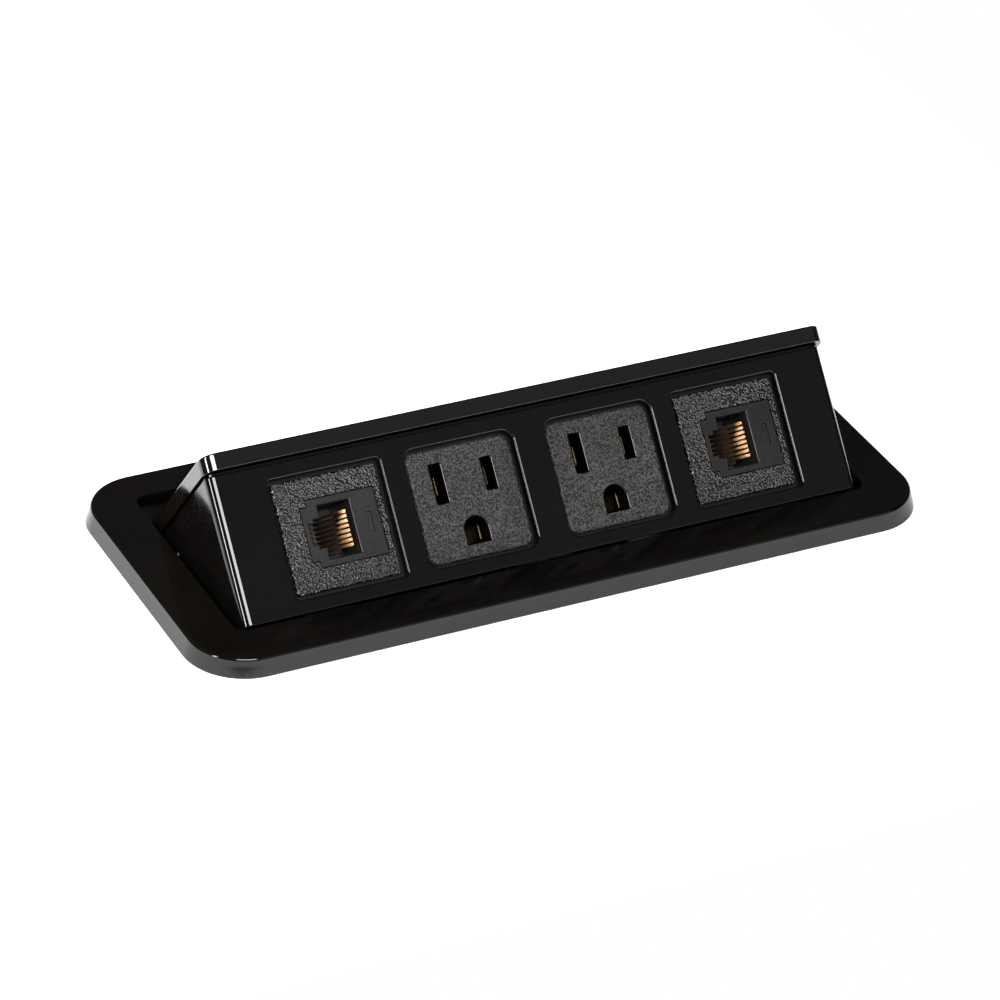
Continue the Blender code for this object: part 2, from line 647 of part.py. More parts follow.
# ---------------------------------------------------------------- tilting head
BOSS_X = SHELL_X - SHELL_WALL - 0.0050
BOSS_SETBACK = 0.0025            # rear bosses in front of the shell's floor depth
BOSS_SPOTS = (LID_FRONT + 0.0100, LID_FRONT + SHELL_DEPTH - BOSS_SETBACK)
BOSS_LENGTH = 0.0060
TAB_TOP = LID_TOP - LID_PLATE - BOSS_LENGTH - GAP
TAB_THICK = 0.0018


def lid_ring(out, back_out, z):
    """One outline of the lid, grown by out, with its lip leaning back as it drops."""
    lean = (LID_TOP - z) * math.tan(LEAN)
    front = LID_FRONT + min(lean, LID_HEIGHT * math.tan(LEAN))
    outline = rounded_rect(-LID_X - out, LID_X + out, front - out, LID_BACK + back_out, LID_CORNER + out, 5)
    return ring_at(outline, z)


def build_lid(head):
    """The lid: a shallow tray whose front lip overhangs the face."""
    bm = bmesh.new()
    e = 0.00035
    r = LID_BACK_ROUND
    levels = [(LID_TOP - LID_HEIGHT, 0.0, 0.0), (LID_TOP - r, 0.0, 0.0)]
    levels += [(LID_TOP - r * 0.5, 0.0, -r * 0.134), (LID_TOP - e, 0.0, -r * 0.5)]
    levels += [(LID_TOP - e * 0.3, -e * 0.3, -r * 0.75), (LID_TOP, -e, -r)]
    loft(bm, [lid_ring(out, back, z) for z, out, back in levels])
    lid = node("lid", bm, "gloss_black", head)
    bm = bmesh.new()
    s = LID_SKIRT
    low = LID_TOP - LID_HEIGHT
    front = LID_FRONT + LID_HEIGHT * math.tan(LEAN)
    pocket = rounded_rect(-LID_X + s, LID_X - s, front + s, LID_BACK - s, LID_CORNER - s, 4)
    loft(bm, [ring_at(pocket, low - 0.001), ring_at(pocket, LID_TOP - LID_PLATE)])
    combine(lid, bm, "DIFFERENCE", "lid_hollow")
    bm = bmesh.new()
    for x in (-BOSS_X, BOSS_X):
        for y in BOSS_SPOTS:
            z0 = LID_TOP - LID_PLATE - BOSS_LENGTH
            tube(bm, 0.0014, 0.0030, z0, LID_TOP - LID_PLATE + 0.0003, (x, y, 0.0), segments=16)
    combine(lid, bm, "UNION", "screw_bosses")
    return lid


def build_lid_screws(head):
    """Four screws through the shell's tabs into the lid's bosses."""
    first = None
    for i, (x, y) in enumerate([(x, y) for x in (-BOSS_X, BOSS_X) for y in BOSS_SPOTS]):
        if first is None:
            bm = bmesh.new()
            low = TAB_TOP - TAB_THICK - GAP
            profile = [(0.0016, low - 0.0014), (0.0022, low - 0.0009), (0.0022, low), (0.0011, low)]
            profile += [(0.0011, TAB_TOP + 0.0040)]
            turned(bm, profile, segments=14)
            first = node("lid_screw_1", bm, "steel", head)
            first.location = (x, y, 0.0)
            origin = Vector((x, y, 0.0))
        else:
            copy_node(first, f"lid_screw_{i + 1}", Vector((x, y, 0.0)) - origin)


def lid_under(z, clear=GAP):
    """Height up the face at which the lid's underside passes, z behind the face."""
    point = FACE_IN_HEAD.inverted() @ Vector((0.0, 0.0, LID_TOP - LID_PLATE - clear))
    slope = math.tan(LEAN)
    return point.y + (z - point.z) * slope



def head_circle(angle, radius):
    """Point on a circle about the pins, in (up the face, out of the face)."""
    back = (-math.sin(LEAN), -math.cos(LEAN))
    up = (math.cos(LEAN), -math.sin(LEAN))
    c, s = radius * math.cos(angle), radius * math.sin(angle)
    return (PIVOT_IN_FACE.y + c * back[0] + s * up[0], PIVOT_IN_FACE.z + c * back[1] + s * up[1])


def shell_profile(inset):
    """Side outline of the shell in (up the face, out of the face), its front moved back by inset."""
    radius = PIVOT_DROP - LID_PLATE - GAP - 0.0002
    tongue = -0.0011
    e = 0.0004
    front = [(0.0, -e), (e, 0.0), (FACE_TOP - e, 0.0), (FACE_TOP, -e), (FACE_TOP, tongue)]
    front += [(lid_under(tongue) - 0.0002, tongue)]
    points = [(y, -inset + z * (1.0 - inset / SHELL_WALL)) for y, z in front]
    corner = (0.0, -SHELL_DEPTH)
    dy, dz = corner[0] - PIVOT_IN_FACE.y, corner[1] - PIVOT_IN_FACE.z
    back = -dy * math.sin(LEAN) - dz * math.cos(LEAN)
    up = dy * math.cos(LEAN) - dz * math.sin(LEAN)
    reach = math.hypot(back, up)
    last = math.atan2(up, back) + math.acos(radius / reach)
    first = math.pi / 2
    steps = 12
    for i in range(steps + 1):
        points.append(head_circle(first + (last - first) * i / steps, radius))
    points.append(corner)
    return points


def ports():
    """Name, centre across and kind of each port, left to right."""
    return [
        ("left", -DATA_OFFSET, "data"),
        ("left", -MAINS_OFFSET, "mains"),
        ("right", MAINS_OFFSET, "mains"),
        ("right", DATA_OFFSET, "data"),
    ]


def shell_cavity(shell, head, face):
    """Hollow the shell out from behind and rebate the cheeks' tops for the lid's skirt."""
    bm = bmesh.new()
    inner = SHELL_X - SHELL_WALL
    box(bm, -inner, inner, SHELL_FLOOR, 0.080, -0.080, -SHELL_WALL)
    combine(shell, bm, "DIFFERENCE", "shell_hollow", face)
    bm = bmesh.new()
    for side in (-1, 1):
        ends = sorted((side * (LID_X - LID_SKIRT - GAP), side * (LID_X + 0.001)))
        box(bm, ends[0], ends[1], LID_FRONT - 0.005, 0.020, LID_TOP - LID_HEIGHT - GAP, LID_TOP)
    combine(shell, bm, "DIFFERENCE", "skirt_rebate", head)


def stop_hook_profile():
    """Open-pose outline of a stop hook, from the shell's floor to under the bezel, in (y, z)."""
    back = Vector((0.0, math.sin(FACE_ANGLE), -math.cos(FACE_ANGLE)))
    y0 = FACE_FOOT.y + 0.0003
    low = STOP_TOP - 0.0016
    along = (FACE_FOOT.z - low) / math.cos(FACE_ANGLE)
    root = FACE_FOOT + back * along
    rise = Vector((0.0, math.cos(FACE_ANGLE), math.sin(FACE_ANGLE))) * (SHELL_FLOOR * 0.6)
    inner = root + rise
    start = FACE_FOOT + back * 0.0012 + rise
    return [(start.y, start.z), (y0, FACE_FOOT.z - 0.0008), (y0, STOP_TOP), (-MOUTH_FRONT - STOP_REACH, STOP_TOP),
            (-MOUTH_FRONT - STOP_REACH, low), (root.y, root.z), (inner.y, inner.z)]


def shell_additions(shell, head):
    """Join the lid tabs, the spring pegs and the stop hooks to the shell."""
    bm = bmesh.new()
    inner = SHELL_X - SHELL_WALL
    for side in (-1, 1):
        for y in BOSS_SPOTS:
            ends = sorted((side * (BOSS_X - 0.0030), side * (inner + 0.0004)))
            box(bm, ends[0], ends[1], y - 0.0032, y + 0.0032, TAB_TOP - TAB_THICK, TAB_TOP)
        at = HEAD_FRAME.inverted() @ Vector(
            (0.0, PIVOT.y - 0.0090, PIVOT.z - SPRING_RADIUS + SPRING_WIRE + GAP + 0.0010)
        )
        ends = sorted((side * (SHELL_X - 0.0005), side * (SHELL_X + 0.0017)))
        turned(bm, [(0.0010, ends[0]), (0.0010, ends[1])], (0.0, at.y, at.z), "X", 14)
        hook = [HEAD_FRAME.inverted() @ Vector((0.0, y, z)) for y, z in stop_hook_profile()]
        middle = side * STOP_X
        extrude_x(bm, [(p.y, p.z) for p in hook], middle - 0.0055, middle + 0.0055)
        ear = [FACE_IN_HEAD @ Vector((0.0, y, z)) for y, z in EAR_BOX]
        ends = sorted((side * (inner - 0.0065), side * (inner + 0.0004)))
        extrude_x(bm, [(p.y, p.z) for p in ear], ends[0], ends[1])
    combine(shell, bm, "UNION", "shell_fittings", head)


EAR_Y = 0.0110
EAR_BOX = [
    (EAR_Y - 0.0030, -SHELL_DEPTH),
    (EAR_Y + 0.0030, -SHELL_DEPTH),
    (EAR_Y + 0.0030, -SHELL_DEPTH + 0.0065),
    (EAR_Y - 0.0030, -SHELL_DEPTH + 0.0065),
]
EAR_X = SHELL_X - SHELL_WALL - 0.0034


def shell_cuts(shell, head, face):
    """Cut the four ports, the pin holes and the screw holes."""
    bm = bmesh.new()
    h = PORT_HALF
    b = PORT_BEVEL
    for _, x, kind in ports():
        corner = MAINS_CORNER + 0.0005 if kind == "mains" else 0.0010
        rings = []
        for grow, z in ((0.0, -SHELL_WALL - 0.001), (0.0, -b), (b + 0.0005, 0.0005)):
            outline = rounded_rect(x - h - grow, x + h + grow, PORT_RISE - h - grow, PORT_RISE + h + grow,
                                   corner + grow, 4)
            rings.append(ring_at(outline, z))
        loft(bm, rings)
    combine(shell, bm, "DIFFERENCE", "port_openings", face)
    bm = bmesh.new()
    for side in (-1, 1):
        across = side * (SHELL_X - SHELL_WALL / 2)
        turned(bm, [(PIN_RADIUS + PIN_CLEAR, -0.003), (PIN_RADIUS + PIN_CLEAR, 0.003)], (across, 0.0, 0.0), "X", 20)
        for y in BOSS_SPOTS:
            turned(bm, [(0.0014, TAB_TOP - TAB_THICK - 0.001), (0.0014, TAB_TOP + 0.001)],
                   (side * BOSS_X, y, 0.0), segments=14)
    combine(shell, bm, "DIFFERENCE", "pin_and_tab_holes", head)
    bm = bmesh.new()
    for side in (-1, 1):
        turned(bm, [(0.0012, -SHELL_DEPTH - 0.001), (0.0012, -SHELL_DEPTH + 0.0058)],
               (side * EAR_X, EAR_Y, 0.0), segments=14)
    combine(shell, bm, "DIFFERENCE", "ear_holes", face)


def build_shell(head, face):
    """The socket housing: face plate, two cheeks with rounded front edges, and a floor."""
    bm = bmesh.new()
    rings = []
    steps = 5
    for side in (-1, 1):
        column = []
        for i in range(steps + 1):
            a = math.radians(90.0 * i / steps)
            x = SHELL_X - SHELL_EDGE * (1.0 - math.sin(a))
            inset = SHELL_EDGE * (1.0 - math.cos(a))
            column.append((side * x, inset))
        if side < 0:
            column.reverse()
        for x, inset in column:
            rings.append([(x, y, z) for y, z in shell_profile(inset)])
    loft(bm, rings)
    shell = node("socket_shell", bm, "satin_black", face)
    shell_cavity(shell, head, face)
    shell_additions(shell, head)
    shell_cuts(shell, head, face)
    return shell


def build_strike_and_cover(face):
    """Steel strike under the shell's floor, and the rear cover with its two screws."""
    corner = PIVOT + FACE_IN_HEAD @ Vector((0.0, 0.0, 0.0))
    behind = (LATCH_Y - corner.y) / math.cos(LEAN)
    bm = bmesh.new()
    box(bm, -0.0070, 0.0070, -GAP - STRIKE_THICK, -GAP, -behind - 0.0040, -behind + 0.0040)
    node("latch_strike", bm, "steel", face)
    bm = bmesh.new()
    x = SHELL_X - SHELL_WALL - GAP
    z1 = -SHELL_DEPTH - GAP
    z0 = z1 - 0.0014
    top = lid_under(z0) - 0.0008
    outline = rounded_rect(-x, x, SHELL_FLOOR + GAP, top, 0.0010, 3)
    extrude_z(bm, outline, z0, z1)
    cover = node("rear_cover", bm, "housing_black", face)
    bm = bmesh.new()
    for side in (-1, 1):
        turned(bm, [(0.0013, z0 - 0.001), (0.0013, z1 + 0.001)], (side * EAR_X, EAR_Y, 0.0), segments=14)
    turned(bm, [(0.0050, z0 - 0.001), (0.0050, z1 + 0.001)], (0.0, 0.0120, 0.0), segments=24)
    combine(cover, bm, "DIFFERENCE", "cover_holes")
    for side, word in ((-1, "left"), (1, "right")):
        bm = bmesh.new()
        low = z0 - GAP
        profile = [(0.0014, low - 0.0014), (0.0021, low - 0.0009), (0.0021, low), (0.0009, low)]
        profile += [(0.0009, -SHELL_DEPTH + 0.0050)]
        turned(bm, profile, (side * EAR_X, EAR_Y, 0.0), segments=14)
        node(f"cover_screw_{word}", bm, "steel", face)


# ---------------------------------------------------------------- mains receptacles
def insert_front():
    """Depth of the insert plates' flange fronts behind the face."""
    return -(SHELL_WALL + GAP)


def insert_plate(half_x, half_y, corner, x, centre_y):
    """Rings of a flanged insert whose raised front fills a port opening."""
    e = 0.0003
    front = -INSERT_SINK
    shelf = insert_front()
    rings = []
    f = INSERT_FLANGE
    flange = rounded_rect(x - f, x + f, centre_y - f, centre_y + f, 0.0012, 4)
    plain = rounded_rect(x - half_x, x + half_x, centre_y - half_y, centre_y + half_y, corner, 4)
    small = rounded_rect(x - half_x + e, x + half_x - e, centre_y - half_y + e, centre_y + half_y - e, corner - e, 4)
    rings.append(ring_at(flange, shelf - INSERT_THICK))
    rings.append(ring_at(flange, shelf))
    rings.append(ring_at(plain, shelf))
    rings.append(ring_at(plain, front - e))
    rings.append(ring_at(small, front))
    return rings


def ground_outline(x, y, grow=0.0):
    """U-shaped ground hole: arched above, flat below."""
    half = GROUND_HOLE[0] / 2 + grow
    tall = GROUND_HOLE[1] / 2 + grow
    points = [(x - half, y - tall), (x + half, y - tall)]
    for i in range(9):
        a = math.pi * i / 8
        points.append((x + half * math.cos(a), y + tall - half + half * math.sin(a)))
    return points


def fork(bm, x, y, leaf_in, half_wide, z_mouth, z_bridge, z_tail):
    """A sprung two-leaf contact with a tail, its leaves either side of x."""
    t = 0.0005
    out = leaf_in + t
    flare = 0.0005
    profile = [(-0.0005, z_tail), (0.0005, z_tail), (0.0005, z_bridge - t), (out, z_bridge - t)]
    profile += [(out, z_mouth - 0.0010), (out + flare, z_mouth), (out + flare - t, z_mouth), (leaf_in, z_mouth - 0.0012)]
    profile += [(leaf_in, z_bridge), (-leaf_in, z_bridge), (-leaf_in, z_mouth - 0.0012)]
    profile += [(-out - flare + t, z_mouth), (-out - flare, z_mouth), (-out, z_mouth - 0.0010)]
    profile += [(-out, z_bridge - t), (-0.0005, z_bridge - t)]
    loft(bm, [[(x + px, yy, pz) for px, pz in profile] for yy in (y - half_wide, y + half_wide)])


def build_receptacle(word, x, face):
    """One grounded receptacle: face, back body and three contacts."""
    y = PORT_RISE
    bm = bmesh.new()
    loft(bm, insert_plate(MAINS_HALF, MAINS_HALF, MAINS_CORNER, x, y))
    plate = node(f"receptacle_face_{word}", bm, "textured_black", face)
    bm = bmesh.new()
    blade_y = y + BLADE_RISE
    ground_y = blade_y - BLADE_TO_GROUND
    back = insert_front() - INSERT_THICK
    for sign, (wide, tall) in ((-1, NEUTRAL_SLOT), (1, LINE_SLOT)):
        cx = x + sign * BLADE_SPACING / 2
        box(bm, cx - wide / 2, cx + wide / 2, blade_y - tall / 2, blade_y + tall / 2, back - 0.001, 0.001)
    extrude_z(bm, ground_outline(x, ground_y), back - 0.001, 0.001)
    combine(plate, bm, "DIFFERENCE", "blade_slots")
    front = back - GAP
    rear = front - MAINS_BODY_DEPTH
    bm = bmesh.new()
    h = MAINS_BODY_HALF
    extrude_z(bm, rounded_rect(x - h, x + h, y - h, y + h, 0.0015, 3), rear, front)
    body = node(f"receptacle_body_{word}", bm, "housing_black", face)
    bm = bmesh.new()
    pockets = [(x - BLADE_SPACING / 2, blade_y, 0.0026, NEUTRAL_SLOT[1] / 2 + 0.0008)]
    pockets += [(x + BLADE_SPACING / 2, blade_y, 0.0026, LINE_SLOT[1] / 2 + 0.0008)]
    pockets += [(x, ground_y, 0.0040, 0.0036)]
    for cx, cy, px, py in pockets:
        inner = ring_at([(cx - px, cy - py), (cx + px, cy - py), (cx + px, cy + py), (cx - px, cy + py)], front + 0.001)
        shelf = [(a, b, rear + 0.0030) for a, b, _ in inner]
        tail = [(cx - 0.0009, cy - 0.0024), (cx + 0.0009, cy - 0.0024), (cx + 0.0009, cy + 0.0024),
                (cx - 0.0009, cy + 0.0024)]
        loft(bm, [ring_at(tail, rear - 0.001), ring_at(tail, rear + 0.0030), shelf, inner])
    combine(body, bm, "DIFFERENCE", "contact_pockets")
    mouth = front - 0.0005
    bridge = rear + 0.0030 + GAP + 0.0005
    for label, cx, cy, leaf in (("neutral", x - BLADE_SPACING / 2, blade_y, 0.0006),
                                ("line", x + BLADE_SPACING / 2, blade_y, 0.0006),
                                ("ground", x, ground_y, 0.0020)):
        bm = bmesh.new()
        fork(bm, cx, cy, leaf, 0.0021, mouth, bridge, rear - 0.0024)
        node(f"{label}_contact_{word}", bm, "brass", face)


def build_jumpers(face):
    """The three wires that link the receptacles' contact tails."""
    rear = insert_front() - INSERT_THICK - GAP - MAINS_BODY_DEPTH
    z = rear - 0.0024 - GAP - 0.0010
    blade_y = PORT_RISE + BLADE_RISE
    runs = [
        ("line_jumper_wire", BLADE_SPACING / 2, blade_y + 0.0012, "wire_black"),
        ("neutral_jumper_wire", -BLADE_SPACING / 2, blade_y - 0.0012, "wire_white"),
        ("ground_jumper_wire", 0.0, blade_y - BLADE_TO_GROUND, "wire_green"),
    ]
    for name, shift, y, colour in runs:
        curve = bpy.data.curves.new(name, "CURVE")
        curve.dimensions = "3D"
        curve.bevel_depth = 0.0009
        curve.bevel_resolution = 2
        curve.render_resolution_u = 0
        curve.use_fill_caps = True
        steps = 8
        spline = curve.splines.new("POLY")
        spline.points.add(steps)
        for i, slot in enumerate(spline.points):
            t = i / steps
            x = -MAINS_OFFSET + shift + 2 * MAINS_OFFSET * t
            slot.co = (x, y + 0.0008 * math.sin(math.pi * t) * (1.0 if shift >= 0 else -1.0), z, 1.0)
        curve.materials.append(finish(colour))
        obj = bpy.data.objects.new(name, curve)
        bpy.context.scene.collection.objects.link(obj)
        obj.parent = face


# ---------------------------------------------------------------- data inserts
def jack_outline(x, y, grow=0.0):
    """Keystone jack front: a rectangle with a narrower step on its latch side."""
    left = x + JACK_SHIFT - JACK_HALF_LENGTH - grow
    right = x + JACK_SHIFT + JACK_HALF_LENGTH + grow
    half = JACK_HALF_WIDTH + grow
    step = JACK_STEP_HALF + grow
    return [
        (left - JACK_STEP, y - step), (left, y - step), (left, y - half), (right, y - half),
        (right, y + half), (left, y + half), (left, y + step), (left - JACK_STEP, y + step),
    ]


def jack_cavity(x, y):
    """Plug cavity outline with its two latch notches toward -X."""
    right = x + 0.0048
    left = right - JACK_CAVITY_LENGTH
    half = JACK_CAVITY_HALF
    points = [(right, y - half), (right, y + half), (left, y + half), (left, y + 0.0033)]
    points += [(left - 0.0017, y + 0.0033), (left - 0.0017, y + 0.00245), (left - 0.0031, y + 0.00245)]
    mirrored = [(px, 2 * y - py) for px, py in reversed(points[2:])]
    return points + mirrored


def build_data_insert(word, x, face):
    """One data insert: plate, keystone jack, contact comb and rear cap."""
    y = PORT_RISE
    bm = bmesh.new()
    loft(bm, insert_plate(INSERT_HALF, INSERT_HALF, 0.0008, x, y))
    plate = node(f"data_insert_{word}", bm, "textured_black", face)
    bm = bmesh.new()
    back = insert_front() - INSERT_THICK
    extrude_z(bm, jack_outline(x, y, GAP), back - 0.001, 0.001)
    combine(plate, bm, "DIFFERENCE", "jack_opening")
    bm = bmesh.new()
    front = -INSERT_SINK - 0.0001
    rear = front - JACK_DEPTH
    extrude_z(bm, jack_outline(x, y), rear, front)
    jack = node(f"keystone_jack_{word}", bm, "textured_black", face)
    bm = bmesh.new()
    extrude_z(bm, jack_cavity(x, y), front - 0.0135, 0.001)
    combine(jack, bm, "DIFFERENCE", "plug_cavity")
    bm = bmesh.new()
    box(bm, x + 0.0078, x + 0.0092, y - 0.0025, y + 0.0025, front - 0.0010, 0.001)
    combine(jack, bm, "DIFFERENCE", "release_slot")
    bm = bmesh.new()
    box(bm, x + 0.00485, x + 0.00520, y - 0.0064, y + 0.0064, front - 0.0005, front + 0.0003)
    combine(jack, bm, "UNION", "front_rib")
    bm = bmesh.new()
    top = front - 0.0098
    box(bm, x - 0.0026, x + 0.0040, y - 0.0046, y + 0.0046, top - 0.0016, top)
    comb = node(f"jack_contacts_{word}", bm, "gold", face)
    bm = bmesh.new()
    for i in range(8):
        cy = y + (i - 3.5) * 0.00110
        profile = [(x - 0.0012, top - 0.0006), (x + 0.0038, front - 0.0016), (x + 0.0043, front - 0.0019),
                   (x - 0.0006, top - 0.0008)]
        loft(bm, [[(px, yy, pz) for px, pz in profile] for yy in (cy - 0.00027, cy + 0.00027)])
    combine(comb, bm, "UNION", "contact_wires")
    bm = bmesh.new()
    left = x + JACK_SHIFT - JACK_HALF_LENGTH
    right = x + JACK_SHIFT + JACK_HALF_LENGTH
    z1 = rear - GAP
    z0 = z1 - 0.0045
    h = JACK_HALF_WIDTH
    extrude_z(bm, rounded_rect(left, right, y - h, y + h, 0.0008, 3), z0, z1)
    cap = node(f"jack_rear_cap_{word}", bm, "ivory", face)
    bm = bmesh.new()
    for i in range(4):
        cy = y + (i - 1.5) * 0.0034
        box(bm, left - 0.001, left + 0.0030, cy - 0.0005, cy + 0.0005, z0 - 0.001, z0 + 0.0030)
        box(bm, right - 0.0030, right + 0.001, cy - 0.0005, cy + 0.0005, z0 - 0.001, z0 + 0.0030)
    combine(cap, bm, "DIFFERENCE", "wire_slots")


def main():
    """Build every piece of the unit with its head open."""
    clear_scene()
    build_bezel()
    build_tub()
    build_flange_screws()
    build_pins()
    build_springs()
    build_clamps()
    build_latch()
    build_outlets()
    build_bumpers()
    head = empty("head_axis", HEAD_FRAME)
    face = empty("face_plane", FACE_IN_HEAD, head)
    build_lid(head)
    build_lid_screws(head)
    build_shell(head, face)
    build_strike_and_cover(face)
    for word, x, kind in ports():
        if kind == "mains":
            build_receptacle(word, x, face)
        else:
            build_data_insert(word, x, face)
    build_jumpers(face)
    bpy.context.view_layer.update()


main()
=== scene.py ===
"""Tilt-up desk power and data unit: the detailed look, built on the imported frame.

Lengths are metres, +Z is up, +X runs along the unit and the desk surface is z = 0.
"""
from __future__ import annotations

import logging
import math
from dataclasses import dataclass, field
from enum import Enum
from typing import Callable, Iterable, Sequence

import bmesh
import bpy
from mathutils import Matrix, Vector


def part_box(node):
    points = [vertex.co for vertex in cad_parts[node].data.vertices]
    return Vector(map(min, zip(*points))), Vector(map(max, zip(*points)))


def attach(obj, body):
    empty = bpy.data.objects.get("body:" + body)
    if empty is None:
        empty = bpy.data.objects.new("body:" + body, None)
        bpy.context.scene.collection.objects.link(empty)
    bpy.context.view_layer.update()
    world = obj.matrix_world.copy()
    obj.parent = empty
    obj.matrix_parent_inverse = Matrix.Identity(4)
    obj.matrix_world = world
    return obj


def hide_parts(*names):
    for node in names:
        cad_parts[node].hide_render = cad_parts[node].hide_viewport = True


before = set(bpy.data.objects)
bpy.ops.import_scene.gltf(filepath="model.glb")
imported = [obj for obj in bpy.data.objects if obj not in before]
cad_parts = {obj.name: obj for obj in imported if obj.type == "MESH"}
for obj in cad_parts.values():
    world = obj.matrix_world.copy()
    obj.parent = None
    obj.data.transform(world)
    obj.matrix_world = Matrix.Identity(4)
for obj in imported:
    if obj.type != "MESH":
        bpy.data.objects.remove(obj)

LOG = logging.getLogger("desk_unit")
Ring = list[Vector]
Point = tuple[float, float, float]
Spot = tuple[float, float]
Tree = bpy.types.NodeTree
Node = bpy.types.Node
Socket = bpy.types.NodeSocket


# ------------------------------------------------------------------ shared sizes
@dataclass(frozen=True)
class Plan:
    """Sizes that several sub-assemblies share."""

    half_x: float = 0.09155
    half_y: float = 0.03945
    draft: float = 0.0014
    top: float = 0.0046
    corner: float = 0.0131
    plate: float = 0.0023
    skirt: float = 0.0024
    mouth_half: float = 0.0805
    mouth_front: float = 0.0284
    mouth_back: float = 0.0303
    mouth_corner: float = 0.0030
    tilt: float = math.radians(52.0)
    pivot_drop: float = 0.0087
    pivot_back: float = 0.0139
    pin_hole: float = 0.00158
    spring_coil: float = 0.0036
    spring_wire: float = 0.00035
    peg: float = 0.0010
    tub_half: float = 0.0824
    tub_wall: float = 0.0016
    tub_depth: float = 0.0460
    lid_half: float = 0.0793
    lid_skirt: float = 0.0016
    lid_plate: float = 0.0020
    lid_height: float = 0.0038
    lid_gap_front: float = 0.0011
    face_front_gap: float = 0.0006
    face_setback: float = 0.0021
    lip_gap: float = 0.0010
    shell_wall: float = 0.0024
    shell_depth: float = 0.0270
    shell_x: float = 0.0786
    port_rise: float = 0.0171
    port_half: float = 0.0138
    data_offset: float = 0.0511
    mains_offset: float = 0.0178
    insert_sink: float = 0.0013
    insert_thick: float = 0.0029
    insert_flange: float = 0.0149
    gap: float = 0.0003

    @property
    def pivot(self) -> Vector:
        """Centre of the hinge pins."""
        return Vector((0.0, self.mouth_back - self.pivot_back, self.top - self.pivot_drop))

    @property
    def head(self) -> Matrix:
        """Frame of the open head: its axes are the shut head's, turned about the pins."""
        return Matrix.Translation(self.pivot) @ Matrix.Rotation(-self.tilt, 4, "X")

    @property
    def lid_front(self) -> float:
        """Front edge of the lid in the head's frame."""
        return -(self.mouth_front - self.lid_gap_front) - self.pivot.y

    @property
    def foot(self) -> Vector:
        """Lower front edge of the open face."""
        return Vector((0.0, -self.mouth_front + self.face_front_gap, self.top))

    @property
    def _lip(self) -> Vector:
        """Open lid's upper front edge, seen from the face's foot."""
        return self.head @ Vector((0.0, self.lid_front, self.pivot_drop)) - self.foot

    @property
    def face_angle(self) -> float:
        """Slope of the open face."""
        lip = self._lip
        return math.atan2(lip.z, lip.y) - math.asin(self.face_setback / lip.length)

    @property
    def face_top(self) -> float:
        """Height of the face, measured up the face."""
        lip = self._lip
        rise = lip.length * math.cos(math.atan2(lip.z, lip.y) - self.face_angle)
        return rise - self.lid_height - self.lip_gap

    @property
    def lean(self) -> float:
        """How far the shut head's face leans from upright."""
        return self.tilt + self.face_angle - math.pi / 2

    @property
    def face(self) -> Matrix:
        """Frame of the open face: X along, Y up the face, Z out of it."""
        return Matrix.Translation(self.foot) @ Matrix.Rotation(self.face_angle, 4, "X")

    @property
    def face_in_head(self) -> Matrix:
        """The face's frame seen from the head's."""
        return self.head.inverted() @ self.face

    def lid_under(self, z: float, clear: float = 0.0003) -> float:
        """Height up the face at which the lid's underside passes.

        Args:
            z: Distance out of the face.
            clear: Space left under the lid.

        Returns:
            The height up the face.
        """
        point = self.face_in_head.inverted() @ Vector((0.0, 0.0, self.pivot_drop - self.lid_plate - clear))
        return point.y + (z - point.z) * math.tan(self.lean)


PLAN = Plan()


# ------------------------------------------------------------------ mesh kit
def rounded(x0: float, x1: float, y0: float, y1: float, radius: float, z: float, steps: int = 10) -> Ring:
    """Rounded rectangle at one height.

    Args:
        x0: Low X side.
        x1: High X side.
        y0: Low Y side.
        y1: High Y side.
        radius: Corner radius.
        z: Height of the ring.
        steps: Facets in each corner.

    Returns:
        The ring, counter-clockwise from the +X side.
    """
    ring: Ring = []
    spots = ((x1 - radius, y1 - radius, 0), (x0 + radius, y1 - radius, 90),
             (x0 + radius, y0 + radius, 180), (x1 - radius, y0 + radius, 270))
    for cx, cy, start in spots:
        for i in range(steps + 1):
            a = math.radians(start + 90.0 * i / steps)
            ring.append(Vector((cx + radius * math.cos(a), cy + radius * math.sin(a), z)))
    return ring


def square(cx: float, cy: float, half_x: float, half_y: float, radius: float, z: float,
           steps: int = 10) -> Ring:
    """Rounded rectangle about a centre; see rounded."""
    return rounded(cx - half_x, cx + half_x, cy - half_y, cy + half_y, radius, z, steps)


def round_ring(radius: float, z: float, steps: int = 48) -> Ring:
    """Circle about the Z axis at one height."""
    turn = [2 * math.pi * i / steps for i in range(steps)]
    return [Vector((radius * math.cos(a), radius * math.sin(a), z)) for a in turn]


def flat_ring(points: Iterable[Spot], z: float) -> Ring:
    """Lift 2-D points to one height."""
    return [Vector((x, y, z)) for x, y in points]


def side_ring(points: Iterable[Spot], x: float) -> Ring:
    """Place (y, z) points at one X."""
    return [Vector((x, y, z)) for y, z in points]


def arc(centre: Spot, radius: float, start: float, stop: float, steps: int) -> list[Spot]:
    """Points of an arc, angles in degrees."""
    turn = [math.radians(start + (stop - start) * i / steps) for i in range(steps + 1)]
    return [(centre[0] + radius * math.cos(a), centre[1] + radius * math.sin(a)) for a in turn]


def rolled(radius: float, step: int) -> list[Spot]:
    """Offsets (inwards, downwards) round a quarter-round edge, from its side to its top.

    Args:
        radius: Radius of the edge.
        step: Degrees between its points.

    Returns:
        The offsets.
    """
    turn = [math.radians(a) for a in range(0, 91, step)]
    return [(radius * (1 - math.cos(t)), radius * (1 - math.sin(t))) for t in turn]


